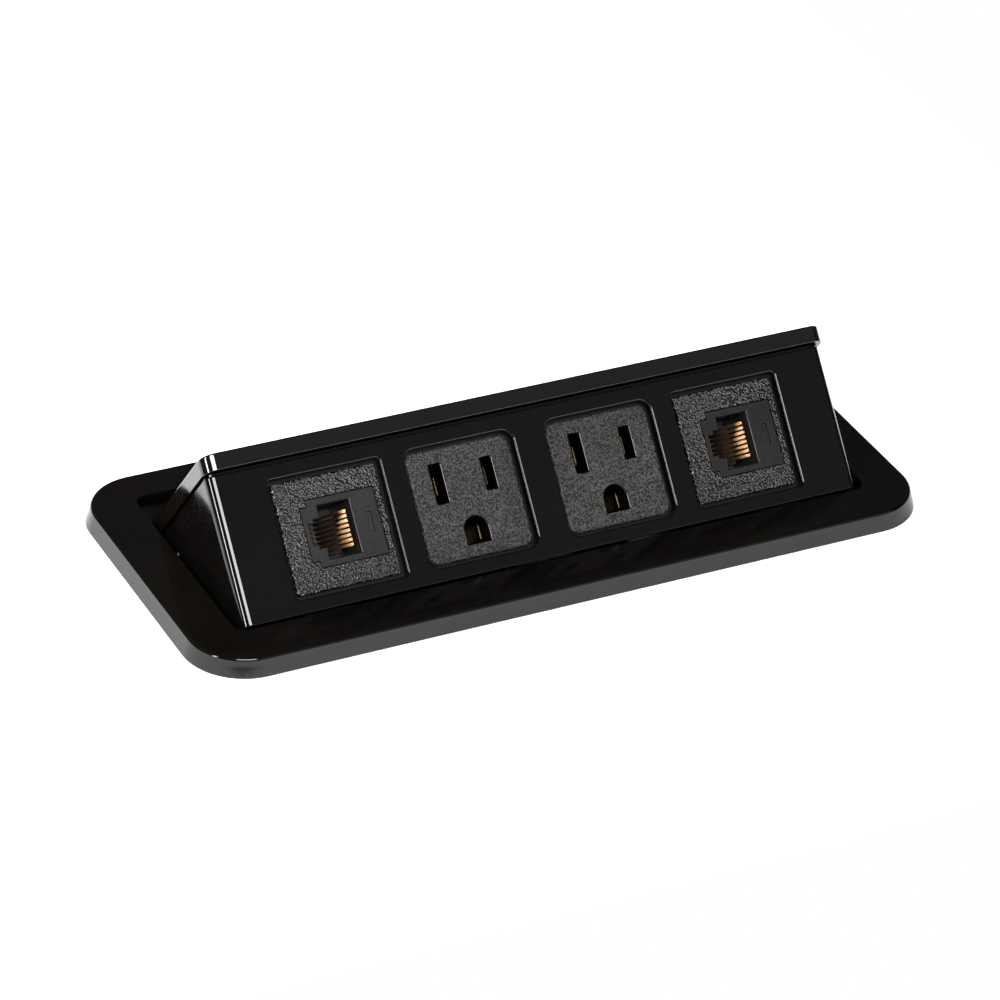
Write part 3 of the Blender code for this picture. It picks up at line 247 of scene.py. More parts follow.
class Form:
    """A working mesh that closed solids are added to."""

    def __init__(self) -> None:
        """Start empty."""
        self.bm = bmesh.new()

    def skin(self, rings: Sequence[Ring], closed: bool = False) -> "Form":
        """Skin rings of equal length.

        Args:
            rings: Cross-sections in order.
            closed: True where the last ring joins the first and no caps are wanted.

        Returns:
            This form.
        """
        rows = [[self.bm.verts.new(p) for p in ring] for ring in rings]
        count = len(rows[0])
        pairs = list(zip(rows, rows[1:])) + ([(rows[-1], rows[0])] if closed else [])
        for low, high in pairs:
            for i in range(count):
                j = (i + 1) % count
                self.bm.faces.new((low[i], low[j], high[j], high[i]))
        if not closed:
            self.bm.faces.new(list(reversed(rows[0])))
            self.bm.faces.new(rows[-1])
        return self

    def block(self, x0: float, x1: float, y0: float, y1: float, z0: float, z1: float,
              edge: float = 0.0) -> "Form":
        """Add a block whose upright edges are rounded by edge.

        Args:
            x0: Low X side.
            x1: High X side.
            y0: Low Y side.
            y1: High Y side.
            z0: Underside.
            z1: Top.
            edge: Radius of the upright edges.

        Returns:
            This form.
        """
        if edge > 0.0:
            return self.skin([rounded(x0, x1, y0, y1, edge, z0, 4), rounded(x0, x1, y0, y1, edge, z1, 4)])
        corners = [(x0, y0), (x1, y0), (x1, y1), (x0, y1)]
        return self.skin([flat_ring(corners, z0), flat_ring(corners, z1)])

    def turned(self, profile: Iterable[Spot], place: Matrix | None = None, steps: int = 48,
               hollow: bool = False) -> "Form":
        """Add a turned solid.

        Args:
            profile: (radius, height) pairs along the axis.
            place: Where the axis stands; +Z at the origin if left out.
            steps: Facets round the axis.
            hollow: True where the profile runs round a pipe's wall.

        Returns:
            This form.
        """
        place = place or Matrix()
        rings = [[place @ p for p in round_ring(r, z, steps)] for r, z in profile]
        return self.skin(rings, closed=hollow)

    def mesh(self, name: str) -> bpy.types.Mesh:
        """Close the form and return its mesh with faces pointing outwards.

        Args:
            name: Name of the mesh.

        Returns:
            The mesh.
        """
        bmesh.ops.recalc_face_normals(self.bm, faces=self.bm.faces)
        mesh = bpy.data.meshes.new(name)
        self.bm.to_mesh(mesh)
        self.bm.free()
        return mesh


def along_x(x: float, y: float = 0.0, z: float = 0.0) -> Matrix:
    """Frame whose +Z points along +X."""
    return Matrix.Translation((x, y, z)) @ Matrix.Rotation(math.pi / 2, 4, "Y")


def at(x: float, y: float, z: float = 0.0) -> Matrix:
    """Upright frame at a place."""
    return Matrix.Translation((x, y, z))


def settle(obj: bpy.types.Object) -> None:
    """Turn an object's modifiers into plain mesh and clear them.

    Args:
        obj: The object that changes.
    """
    bpy.context.view_layer.update()
    graph = bpy.context.evaluated_depsgraph_get()
    mesh = bpy.data.meshes.new_from_object(obj.evaluated_get(graph), depsgraph=graph)
    old = obj.data
    obj.modifiers.clear()
    obj.data = mesh
    if old.users == 0:
        bpy.data.meshes.remove(old)


def combine(obj: bpy.types.Object, form: Form, operation: str) -> None:
    """Cut from, or join to, an object with an exact Boolean.

    Args:
        obj: The object that changes.
        form: The closed solids to use.
        operation: DIFFERENCE or UNION.
    """
    tool = bpy.data.objects.new("tool", form.mesh("tool"))
    bpy.context.scene.collection.objects.link(tool)
    change = obj.modifiers.new("cut", "BOOLEAN")
    change.operation = operation
    change.solver = "EXACT"
    change.object = tool
    settle(obj)
    mesh = tool.data
    bpy.data.objects.remove(tool)
    bpy.data.meshes.remove(mesh)


@dataclass
class Piece:
    """One visible piece, from its solids to its place on a moving body."""

    name: str
    finish: "Finish"
    body: str
    stands_for: tuple[str, ...] = ()
    place: Matrix = field(default_factory=Matrix)
    crease: float = 32.0
    soften: float = 0.0

    def make(self, solid: Form, cuts: Sequence[Form] = (), joins: Sequence[Form] = (),
             fittings: Sequence[Form] = (), holes: Sequence[Form] = ()) -> bpy.types.Object:
        """Build the piece.

        Args:
            solid: Its main solid.
            cuts: Solids taken away.
            joins: Solids added before the cuts.
            fittings: Solids added after the cuts.
            holes: Solids taken away last.

        Returns:
            The finished object.
        """
        obj = bpy.data.objects.new(self.name, solid.mesh(self.name))
        bpy.context.scene.collection.objects.link(obj)
        work = (("UNION", joins), ("DIFFERENCE", cuts), ("UNION", fittings), ("DIFFERENCE", holes))
        for operation, forms in work:
            for form in forms:
                combine(obj, form, operation)
        return self.dress(obj)

    def dress(self, obj: bpy.types.Object) -> bpy.types.Object:
        """Soften, place, shade and ride an object that already has its shape.

        Args:
            obj: The object.

        Returns:
            The same object, finished.
        """
        if self.soften > 0.0:
            soft = obj.modifiers.new("soften", "BEVEL")
            soft.width = self.soften
            soft.segments = 2
            soft.limit_method = "ANGLE"
            soft.angle_limit = math.radians(40.0)
            settle(obj)
        mesh = obj.data
        mesh.name = self.name
        mesh.transform(self.place)
        mesh.shade_smooth()
        mesh.set_sharp_from_angle(angle=math.radians(self.crease))
        mesh.materials.clear()
        mesh.materials.append(self.finish.material())
        even = obj.modifiers.new("even_shading", "WEIGHTED_NORMAL")
        even.keep_sharp = True
        even.weight = 50
        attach(obj, self.body)
        if self.stands_for:
            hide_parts(*self.stands_for)
        LOG.info("built %s with %d faces", self.name, len(mesh.polygons))
        return obj


def refine(node: str, finish: "Finish", body: str, soften: float = 0.00015) -> bpy.types.Object:
    """Stand a softened copy in for a simple node of the frame.

    Args:
        node: The node's name.
        finish: What it is made of.
        body: The body it rides on.
        soften: Width of its broken edges.

    Returns:
        The finished object.
    """
    bm = bmesh.new()
    bm.from_mesh(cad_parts[node].data)
    bmesh.ops.remove_doubles(bm, verts=bm.verts, dist=0.000002)
    bmesh.ops.dissolve_limit(bm, angle_limit=math.radians(0.6), verts=bm.verts, edges=bm.edges)
    mesh = bpy.data.meshes.new(node + "_detail")
    bm.to_mesh(mesh)
    bm.free()
    obj = bpy.data.objects.new(node + "_detail", mesh)
    bpy.context.scene.collection.objects.link(obj)
    return Piece(node + "_detail", finish, body, (node,), soften=soften).dress(obj)


# ------------------------------------------------------------------ finishes
class Grain(Enum):
    """Kinds of surface texture."""

    POLISHED = "polished"
    SPARKED = "sparked"
    PEBBLED = "pebbled"
    LEATHERED = "leathered"
    ROLLED = "rolled"


@dataclass(frozen=True)
class Finish:
    """A moulded, plated or drawn surface described by a few plain numbers."""

    name: str
    slot: str
    colour: Point
    roughness: float
    metallic: float = 0.0
    grain: Grain = Grain.POLISHED
    cell: float = 0.0006
    depth: float = 0.00003
    mottle: float = 0.25
    smudge: float = 0.04
    light: float = 0.5
    # Strength of the painted shade in the grain's hollows and painted highlight on its tops; 0 paints none.
    painted_grain_light: float = 0.0

    def material(self) -> bpy.types.Material:
        """Return the material, built on first use."""
        found = bpy.data.materials.get(self.name)
        return found if found else self._build()

    def _build(self) -> bpy.types.Material:
        """Make the material's nodes.

        Returns:
            The new material.
        """
        made = bpy.data.materials.new(self.name)
        made.use_nodes = True
        tree = made.node_tree
        shader = tree.nodes["Principled BSDF"]
        coords = tree.nodes.new("ShaderNodeTexCoord").outputs["Object"]
        shader.inputs["Metallic"].default_value = self.metallic
        shader.inputs["Specular IOR Level"].default_value = self.light
        height = self._grain_height(tree, coords)
        self._colour(tree, shader, coords, height)
        self._gloss(tree, shader, coords)
        self._relief(tree, shader, height)
        return made

    @staticmethod
    def _noise(tree: Tree, coords: Socket, size: float, detail: float,
               stretch: Point = (1.0, 1.0, 1.0)) -> Socket:
        """Add a noise of a real size and return its factor.

        Args:
            tree: The node tree that grows.
            coords: Where the pattern is read.
            size: Size of its largest features.
            detail: How fine it goes.
            stretch: Its scale along each axis.

        Returns:
            The noise's factor.
        """
        turn = tree.nodes.new("ShaderNodeMapping")
        turn.inputs["Scale"].default_value = stretch
        tree.links.new(coords, turn.inputs["Vector"])
        noise = tree.nodes.new("ShaderNodeTexNoise")
        noise.inputs["Scale"].default_value = 1.0 / size
        noise.inputs["Detail"].default_value = detail
        noise.inputs["Roughness"].default_value = 0.55
        tree.links.new(turn.outputs["Vector"], noise.inputs["Vector"])
        return noise.outputs["Fac"]

    @staticmethod
    def _range(tree: Tree, source: Socket, low: float, high: float,
               new_low: float, new_high: float) -> Socket:
        """Map a factor from one range to another, smoothly.

        Args:
            tree: The node tree that grows.
            source: The factor to map.
            low: Value that becomes new_low.
            high: Value that becomes new_high.
            new_low: Lower result.
            new_high: Upper result.

        Returns:
            The mapped factor.
        """
        node = tree.nodes.new("ShaderNodeMapRange")
        node.interpolation_type = "SMOOTHSTEP"
        limits = {"From Min": low, "From Max": high, "To Min": new_low, "To Max": new_high}
        for label, value in limits.items():
            node.inputs[label].default_value = value
        tree.links.new(source, node.inputs["Value"])
        return node.outputs["Result"]

    def _colour(self, tree: Tree, shader: Node, coords: Socket,
                height: Socket) -> None:
        """Drift the colour slightly over the surface, and paint shade into the grain's hollows and
        highlight onto its tops.

        Args:
            tree: The node tree that grows.
            shader: The surface shader.
            coords: Where the pattern is read.
            height: Height of the grain.
        """
        cloud = self._noise(tree, coords, 0.018, 3.0)
        mix = tree.nodes.new("ShaderNodeMix")
        mix.data_type = "RGBA"
        paler = tuple(min(1.0, c * (1.0 + self.mottle)) for c in self.colour)
        darker = tuple(c * (1.0 - self.mottle * 0.6) for c in self.colour)
        mix.inputs["A"].default_value = (*darker, 1.0)
        mix.inputs["B"].default_value = (*paler, 1.0)
        tree.links.new(self._range(tree, cloud, 0.3, 0.7, 0.0, 1.0), mix.inputs["Factor"])
        # Painted shade and painted highlight: the colour is multiplied by the grain's height, down to black
        # in its hollows and up to 3.6 times on its tops.
        painted_grain_light_mix = tree.nodes.new("ShaderNodeMix")
        painted_grain_light_mix.data_type = "RGBA"
        painted_grain_light_mix.blend_type = "MULTIPLY"
        painted_grain_light_mix.inputs["Factor"].default_value = self.painted_grain_light
        tree.links.new(mix.outputs["Result"], painted_grain_light_mix.inputs["A"])
        tree.links.new(self._range(tree, height, 0.25, 1.05, 0.0, 3.6), painted_grain_light_mix.inputs["B"])
        tree.links.new(painted_grain_light_mix.outputs["Result"], shader.inputs["Base Color"])

    def _gloss(self, tree: Tree, shader: Node, coords: Socket) -> None:
        """Vary the roughness as handling and moulding do.

        Args:
            tree: The node tree that grows.
            shader: The surface shader.
            coords: Where the pattern is read.
        """
        film = self._noise(tree, coords, 0.007, 5.0, (1.0, 1.6, 1.0))
        low = max(0.03, self.roughness - self.smudge)
        high = min(1.0, self.roughness + self.smudge)
        tree.links.new(self._range(tree, film, 0.35, 0.72, low, high), shader.inputs["Roughness"])

    def _relief(self, tree: Tree, shader: Node, height: Socket) -> None:
        """Raise the grain and the slight waviness of the surface.

        Args:
            tree: The node tree that grows.
            shader: The surface shader.
            height: Height of the grain.
        """
        bump = tree.nodes.new("ShaderNodeBump")
        bump.inputs["Strength"].default_value = 1.0
        bump.inputs["Distance"].default_value = self.depth
        tree.links.new(height, bump.inputs["Height"])
        tree.links.new(bump.outputs["Normal"], shader.inputs["Normal"])

    def _grain_height(self, tree: Tree, coords: Socket) -> Socket:
        """Height pattern of the grain, 0 to 1.

        Args:
            tree: The node tree that grows.
            coords: Where the pattern is read.

        Returns:
            The height.
        """
        if self.grain is Grain.POLISHED:
            return self._noise(tree, coords, 0.009, 2.0)
        if self.grain is Grain.SPARKED:
            return self._noise(tree, coords, self.cell, 3.0)
        if self.grain is Grain.ROLLED:
            return self._noise(tree, coords, self.cell, 4.0, (0.12, 1.0, 1.0))
        if self.grain is Grain.PEBBLED:
            cells = tree.nodes.new("ShaderNodeTexVoronoi")
            cells.inputs["Scale"].default_value = 1.0 / self.cell
            tree.links.new(coords, cells.inputs["Vector"])
            soft = self._range(tree, cells.outputs["Distance"], 0.10, 0.72, 1.0, 0.0)
        else:
            soft = self._range(tree, self._noise(tree, coords, self.cell, 3.0), 0.38, 0.62, 0.0, 1.0)
        fine = self._noise(tree, coords, self.cell * 0.4, 2.0)
        blend = tree.nodes.new("ShaderNodeMath")
        blend.operation = "MULTIPLY_ADD"
        blend.inputs[1].default_value = 0.25
        tree.links.new(fine, blend.inputs[0])
        tree.links.new(soft, blend.inputs[2])
        return blend.outputs["Value"]


GLOSS_BLACK = Finish("gloss_black_cover", "gloss_black", (0.0026, 0.0021, 0.0017), 0.085, depth=0.00001,
                     smudge=0.025, light=0.9)
FLANGE_BLACK = Finish("gloss_black_flange", "gloss_black", (0.0026, 0.0021, 0.0017), 0.10, depth=0.00001,
                      smudge=0.025, light=0.42)
SATIN_BLACK = Finish("satin_black_shell", "satin_black", (0.0022, 0.0019, 0.0016), 0.085,
                     grain=Grain.SPARKED, cell=0.00035, depth=0.0000010, smudge=0.02)
# The pebbled, leathered and jack finishes paint shade into their grain's hollows and highlight onto its
# tops.
PEBBLE_BLACK = Finish("pebbled_black_insert", "textured_black", (0.020, 0.019, 0.018), 0.19,
                      grain=Grain.PEBBLED, cell=0.00056, depth=0.00022, smudge=0.04, light=1.0, painted_grain_light=1.0)
LEATHER_BLACK = Finish("leathered_black_receptacle", "textured_black", (0.022, 0.021, 0.020), 0.36,
                       grain=Grain.LEATHERED, cell=0.00046, depth=0.00010, smudge=0.06, painted_grain_light=0.85)
JACK_BLACK = Finish("fine_grained_jack", "textured_black", (0.012, 0.011, 0.0105), 0.36,
                    grain=Grain.SPARKED, cell=0.00034, depth=0.00005, painted_grain_light=0.5)
MATT_BLACK = Finish("matt_black_flange", "satin_black", (0.0030, 0.0028, 0.0026), 0.62,
                    grain=Grain.SPARKED, cell=0.0004, depth=0.00001, light=0.25)
HOUSING_BLACK = Finish("housing_plastic", "housing_black", (0.014, 0.0135, 0.013), 0.46,
                       grain=Grain.SPARKED, cell=0.0004, depth=0.00002)
ZINC = Finish("zinc_plated_steel", "steel", (0.55, 0.56, 0.57), 0.30, 1.0, Grain.ROLLED, 0.0004, 0.000008,
              mottle=0.12, smudge=0.08)
BRASS = Finish("stamped_brass", "brass", (0.15, 0.105, 0.06), 0.34, 1.0, Grain.ROLLED, 0.0004, 0.000006,
               mottle=0.15, smudge=0.08)
GOLD = Finish("gold_plated_wire", "gold", (0.30, 0.17, 0.085), 0.38, 1.0, Grain.ROLLED, 0.0003, 0.000004,
              mottle=0.12, smudge=0.06)
RUBBER = Finish("soft_rubber", "rubber", (0.015, 0.015, 0.015), 0.75, grain=Grain.SPARKED, cell=0.0005,
                depth=0.00003)
NYLON = Finish("natural_nylon", "ivory", (0.55, 0.53, 0.48), 0.45, grain=Grain.SPARKED, cell=0.0004,
               depth=0.00001, mottle=0.06)
NYLON_DARK = Finish("dark_nylon_carrier", "textured_black", (0.006, 0.0056, 0.0052), 0.40,
                    grain=Grain.SPARKED, cell=0.0003, depth=0.00001)
WIRE_BLACK = Finish("black_insulation", "wire_black", (0.020, 0.020, 0.020), 0.42, grain=Grain.SPARKED,
                    depth=0.00001)
WIRE_WHITE = Finish("white_insulation", "wire_white", (0.75, 0.75, 0.72), 0.42, grain=Grain.SPARKED,
                    depth=0.00001, mottle=0.05)
WIRE_GREEN = Finish("green_insulation", "wire_green", (0.03, 0.25, 0.06), 0.42, grain=Grain.SPARKED,
                    depth=0.00001, mottle=0.10)


# ------------------------------------------------------------------ repeated shapes
class Layout(Enum):
    """How a repeated shape is set out."""

    ROW = "row"
    RING = "ring"
    SPOTS = "spots"


@dataclass(frozen=True)
class Repeater:
    """A Geometry Nodes tree that repeats one small shape."""

    label: str
    layout: Layout

    def _tree(self) -> Tree:
        """Build the tree with its named inputs.

        Returns:
            The tree.
        """
        tree = bpy.data.node_groups.new(self.label, "GeometryNodeTree")
        face = tree.interface
        inputs = (("Geometry", "Geometry"), ("Shape", "Object"), ("Count", "Int"), ("Spacing", "Vector"),
                  ("Start", "Vector"), ("Radius", "Float"), ("Finish", "Material"))
        for name, kind in inputs:
            face.new_socket(name, in_out="INPUT", socket_type="NodeSocket" + kind)
        face.new_socket("Geometry", in_out="OUTPUT", socket_type="NodeSocketGeometry")
        new = tree.nodes.new
        link = tree.links.new
        given = new("NodeGroupInput")
        result = new("NodeGroupOutput")
        info = new("GeometryNodeObjectInfo")
        info.transform_space = "ORIGINAL"
        link(given.outputs["Shape"], info.inputs["Object"])
        setter = new("GeometryNodeInstanceOnPoints")
        link(info.outputs["Geometry"], setter.inputs["Instance"])
        link(self._points(tree, given, setter), setter.inputs["Points"])
        real = new("GeometryNodeRealizeInstances")
        link(setter.outputs["Instances"], real.inputs["Geometry"])
        paint = new("GeometryNodeSetMaterial")
        link(real.outputs["Geometry"], paint.inputs["Geometry"])
        link(given.outputs["Finish"], paint.inputs["Material"])
        link(paint.outputs["Geometry"], result.inputs["Geometry"])
        return tree

    def _points(self, tree: Tree, given: Node, setter: Node) -> Socket:
        """Add the nodes that set out the points, and turn the shapes of a ring outwards.

        Args:
            tree: The node tree that grows.
            given: The tree's inputs.
            setter: The node that sets a copy on each point.

        Returns:
            The points.
        """
        link = tree.links.new
        if self.layout is Layout.SPOTS:
            return given.outputs["Geometry"]
        if self.layout is Layout.ROW:
            line = tree.nodes.new("GeometryNodeMeshLine")
            link(given.outputs["Count"], line.inputs["Count"])
            link(given.outputs["Spacing"], line.inputs["Offset"])
            link(given.outputs["Start"], line.inputs["Start Location"])
            return line.outputs["Mesh"]
        loop = tree.nodes.new("GeometryNodeMeshCircle")
        link(given.outputs["Count"], loop.inputs["Vertices"])
        link(given.outputs["Radius"], loop.inputs["Radius"])
        index = tree.nodes.new("GeometryNodeInputIndex")
        full = tree.nodes.new("ShaderNodeMath")
        full.operation = "DIVIDE"
        full.inputs[0].default_value = 2.0 * math.pi
        link(given.outputs["Count"], full.inputs[1])
        turn = tree.nodes.new("ShaderNodeMath")
        turn.operation = "MULTIPLY"
        link(index.outputs["Index"], turn.inputs[0])
        link(full.outputs["Value"], turn.inputs[1])
        axes = tree.nodes.new("ShaderNodeCombineXYZ")
        link(turn.outputs["Value"], axes.inputs["Z"])
        link(axes.outputs["Vector"], setter.inputs["Rotation"])
        return loop.outputs["Mesh"]

    def build(self, name: str, shape: Form, finish: Finish, count: int = 1,
              spacing: Point = (0.0, 0.0, 0.0), start: Point = (0.0, 0.0, 0.0), radius: float = 0.0,
              spots: Sequence[Vector] = ()) -> bpy.types.Object:
        """Repeat a shape and return the result as plain mesh.

        Args:
            name: The new object's name.
            shape: The small shape, about the origin.
            finish: What it is made of.
            count: How many copies, for a row or a ring.
            spacing: Step between the copies of a row.
            start: First place of a row.
            radius: Radius of a ring.
            spots: Places of the copies, for spots.

        Returns:
            An object that holds all the copies.
        """
        seed = bpy.data.objects.new(name + "_shape", shape.mesh(name + "_shape"))
        base = bpy.data.meshes.new(name)
        base.from_pydata([tuple(p) for p in spots] or [(0.0, 0.0, 0.0)], [], [])
        obj = bpy.data.objects.new(name, base)
        bpy.context.scene.collection.objects.link(seed)
        bpy.context.scene.collection.objects.link(obj)
        tree = self._tree()
        values = {"Shape": seed, "Count": count, "Spacing": spacing, "Start": start, "Radius": radius,
                  "Finish": finish.material()}
        repeat = obj.modifiers.new("repeat", "NODES")
        repeat.node_group = tree
        for item in tree.interface.items_tree:
            if item.in_out == "INPUT" and item.name in values:
                repeat[item.identifier] = values[item.name]
        settle(obj)
        mesh = seed.data
        bpy.data.objects.remove(seed)
        bpy.data.meshes.remove(mesh)
        bpy.data.node_groups.remove(tree)
        return obj


def screw_form(head: float, shank: float, length: float, countersunk: bool = False) -> Form:
    """A cross-recessed screw about the origin, its head above z = 0.

    Args:
        head: Radius of the head.
        shank: Radius of the shank.
        length: Length of the shank.
        countersunk: True for a flat head that narrows into its shank.

    Returns:
        The screw.
    """
    deep = head * 0.55
    tip = [(0.00002, -length), (shank * 0.5, -length + shank * 0.4)]
    thread = []
    turns = max(3, int(length / (shank * 0.55)))
    for i in range(turns):
        z = -length + shank * 0.6 + (length - shank) * i / turns
        thread += [(shank * 0.84, z), (shank, z + (length - shank) / turns * 0.5)]
    if countersunk:
        upper = [(shank, -head * 0.6), (head * 0.98, -0.00004), (head, 0.0), (head * 0.9, 0.00004)]
    else:
        upper = [(shank, 0.0), (head, 0.0), (head, head * 0.25), (head * 0.86, head * 0.48),
                 (head * 0.5, head * 0.6)]
    cup = upper[-1][1]
    recess = [(head * 0.34, cup - 0.00002), (head * 0.24, cup - deep * 0.6), (0.00002, cup - deep)]
    return Form().turned(tip + thread + upper + recess, steps=28)


def sweep(path: Sequence[Vector], radius: float, steps: int = 12) -> Form:
    """Sweep a round wire along a path with capped ends.

    Args:
        path: Middle line of the wire.
        radius: Half the wire's thickness.
        steps: Facets round the wire.

    Returns:
        The wire.
    """
    rings: list[Ring] = []
    side = Vector((0.0, 0.0, 1.0))
    for i, point in enumerate(path):
        ahead = (path[min(i + 1, len(path) - 1)] - path[max(i - 1, 0)]).normalized()
        side = side - ahead * side.dot(ahead)
        if side.length < 1e-6:
            side = ahead.orthogonal()
        side.normalize()
        other = ahead.cross(side)
        turn = [2 * math.pi * k / steps for k in range(steps)]
        rings.append([point + (side * math.cos(a) + other * math.sin(a)) * radius for a in turn])
    return Form().skin(rings)


def strip(path: Sequence[Spot], thick: float, wide: float) -> Form:
    """Bend a flat strip along an (x, z) path, its width along Y.

    Args:
        path: Points along the middle of the strip.
        thick: Its thickness.
        wide: Its width.

    Returns:
        The strip.
    """
    upper: list[Spot] = []
    lower: list[Spot] = []
    for i, (x, z) in enumerate(path):
        a = Vector(path[max(i - 1, 0)])
        b = Vector(path[min(i + 1, len(path) - 1)])
        run = (b - a).normalized()
        upper.append((x - run.y * thick / 2, z + run.x * thick / 2))
        lower.append((x + run.y * thick / 2, z - run.x * thick / 2))
    outline = upper + lower[::-1]
    return Form().skin([[Vector((x, y, z)) for x, z in outline] for y in (-wide / 2, wide / 2)])


# ------------------------------------------------------------------ desk flange and housing
@dataclass
class DeskFlange:
    """The glossy rounded frame that rests on the desk."""

    edge: float = 0.00095
    mouth_edge: float = 0.00035
    foot_edge: float = 0.00015
    mouth_break: float = 0.0001
    facets: int = 16

    def _outer(self, out: float, z: float) -> Ring:
        """Outer outline, grown by out."""
        return square(0.0, 0.0, PLAN.half_x + out, PLAN.half_y + out, PLAN.corner + out, z, self.facets)

    def _mouth(self, grow: float, z: float) -> Ring:
        """Mouth outline, grown by grow."""
        return rounded(-PLAN.mouth_half - grow, PLAN.mouth_half + grow, -PLAN.mouth_front - grow,
                       PLAN.mouth_back + grow, PLAN.mouth_corner + grow, z, self.facets)

    def rings(self) -> list[Ring]:
        """Cross-sections from the foot, over the top and down inside.

        Returns:
            The rings in order, which close on themselves.
        """
        top = PLAN.top
        slope = PLAN.draft / top
        base = slope * self.edge
        under = top - PLAN.plate
        rings = [self._outer(PLAN.draft - self.foot_edge, 0.0),
                 self._outer(PLAN.draft - slope * self.foot_edge, self.foot_edge),
                 self._outer(PLAN.draft * 0.5, top * 0.5)]
        rings += [self._outer(base - inward, top - down) for inward, down in rolled(self.edge, 15)]
        rings += [self._mouth(inward, top - down) for inward, down in reversed(rolled(self.mouth_edge, 18))]
        rings.append(self._mouth(0.0, under + self.mouth_break))
        rings.append(self._mouth(self.mouth_break, under))
        inner_x = PLAN.half_x + PLAN.draft / 2 - PLAN.skirt
        inner_y = PLAN.half_y + PLAN.draft / 2 - PLAN.skirt
        for z in (under, 0.0):
            rings.append(square(0.0, 0.0, inner_x, inner_y, PLAN.corner - PLAN.skirt, z, self.facets))
        return rings

    def build(self) -> None:
        """Make the flange."""
        Piece("desk_flange", FLANGE_BLACK, "unit", ("desk_bezel",), crease=40.0).make(
            Form().skin(self.rings(), closed=True))


@dataclass
class Housing:
    """The plain tub under the desk, with its outlets and rubber stops."""

    half_y: float = 0.0339
    corner: float = 0.0030
    flange: float = 0.0050
    flange_end: float = 0.0017
    flange_corner: float = 0.0090
    bottom_edge: float = 0.0012
    broken: float = 0.0002
    fillet: float = 0.0008
    slot_half: float = 0.0024
    slot_reach: float = 0.0094
    clamp_y: float = -0.0080
    clamp_z: float = -0.0330
    outlets: tuple[Spot, ...] = ((-0.055, 0.0065), (0.055, 0.0080))
    outlet_y: float = 0.018
    seat: float = 0.0023
    screw_hole: float = 0.00115
    peg_drop: float = 0.0080

    def _wall_ring(self, out: float, radius: float, z: float) -> Ring:
        """Outline of the tub's inner face, grown by out."""
        return square(0.0, 0.0, PLAN.tub_half + out, self.half_y + out, radius, z, 6)

    def _solid(self) -> Form:
        """The tub without its holes.

        Returns:
            The tub.
        """
        w = PLAN.tub_wall
        inner = self.corner - w
        under = PLAN.top - PLAN.plate - PLAN.gap
        floor = -PLAN.tub_depth + w
        rings = [self._wall_ring(w - down, self.corner - down, -PLAN.tub_depth + inward)
                 for inward, down in rolled(self.bottom_edge, 30)]
        rings.append(self._wall_ring(w, self.corner, PLAN.gap))
        x = PLAN.tub_half + w + self.flange
        y = self.half_y + w + self.flange_end
        for z, shrink in ((PLAN.gap, 0.0), (under - self.broken, 0.0), (under, self.broken)):
            rings.append(square(0.0, 0.0, x - shrink, y - shrink, self.flange_corner - shrink, z, 6))
        rings.append(self._wall_ring(self.broken, inner + self.broken, under))
        rings.append(self._wall_ring(0.0, inner, under - self.broken))
        rings.append(self._wall_ring(0.0, inner, floor + self.fillet))
        rings.append(self._wall_ring(-self.fillet * 0.3125, inner - self.fillet * 0.25,
                                     floor + self.fillet * 0.3125))
        rings.append(self._wall_ring(-self.fillet, inner - self.fillet * 0.5, floor))
        return Form().skin(rings)

    def _holes(self) -> Form:
        """Pin holes, clamp slots and the two outlet holes.

        Returns:
            What is cut away.
        """
        form = Form()
        reach = 0.003
        for side in (-1, 1):
            across = side * (PLAN.tub_half + PLAN.tub_wall / 2)
            form.turned([(PLAN.pin_hole, -reach), (PLAN.pin_hole, reach)],
                        along_x(across, PLAN.pivot.y, PLAN.pivot.z), 32)
            form.block(across - reach, across + reach, self.clamp_y - self.slot_half,
                       self.clamp_y + self.slot_half, self.clamp_z - self.slot_reach,
                       self.clamp_z + self.slot_reach)
        below = -PLAN.tub_depth - 0.001
        above = -PLAN.tub_depth + PLAN.tub_wall + 0.001
        for x, radius in self.outlets:
            form.turned([(radius, below), (radius, above)], at(x, self.outlet_y))
        return form

    def _countersinks(self) -> Form:
        """Seats of the four flange screws.

        Returns:
            What is cut away.
        """
        form = Form()
        low = PLAN.gap
        profile = [(self.seat, low - 0.0005), (self.seat, low), (self.screw_hole, low + self.screw_hole),
                   (self.screw_hole, 0.003)]
        for spot in flange_screw_spots():
            form.turned(profile, at(spot.x, spot.y), 24)
        return form

    def _pegs(self) -> Form:
        """Pegs for the springs' fixed legs.

        Returns:
            Both pegs.
        """
        form = Form()
        reach = 0.0009
        y = PLAN.pivot.y - PLAN.spring_coil - PLAN.spring_wire - PLAN.gap - PLAN.peg
        for side in (-1, 1):
            place = along_x(side * (PLAN.tub_half - 0.0005), y, PLAN.pivot.z - self.peg_drop)
            form.turned([(PLAN.peg, -reach), (PLAN.peg, reach)], place, 20)
        return form

    def build(self) -> None:
        """Make the tub, its outlets and its stops."""
        Piece("housing_tub", HOUSING_BLACK, "unit", ("under_desk_housing",)).make(
            self._solid(), (self._holes(), self._countersinks()), (self._pegs(),))
        refine("supply_inlet_gland", SATIN_BLACK, "unit", 0.0003)
        refine("gland_lock_nut", SATIN_BLACK, "unit", 0.0003)
        refine("data_cable_grommet", RUBBER, "unit", 0.0003)
        for word in ("left", "right"):
            refine(f"stop_bumper_{word}", RUBBER, "unit", 0.0002)


def flange_screw_spots() -> list[Vector]:
    """Places of the screws that hold the tub to the flange, read from the frame.

    Returns:
        The lowest middle point of each screw.
    """
    spots = []
    for i in range(1, 5):
        low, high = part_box(f"bezel_screw_{i}")
        spots.append(Vector(((low.x + high.x) / 2, (low.y + high.y) / 2, low.z)))
    return spots


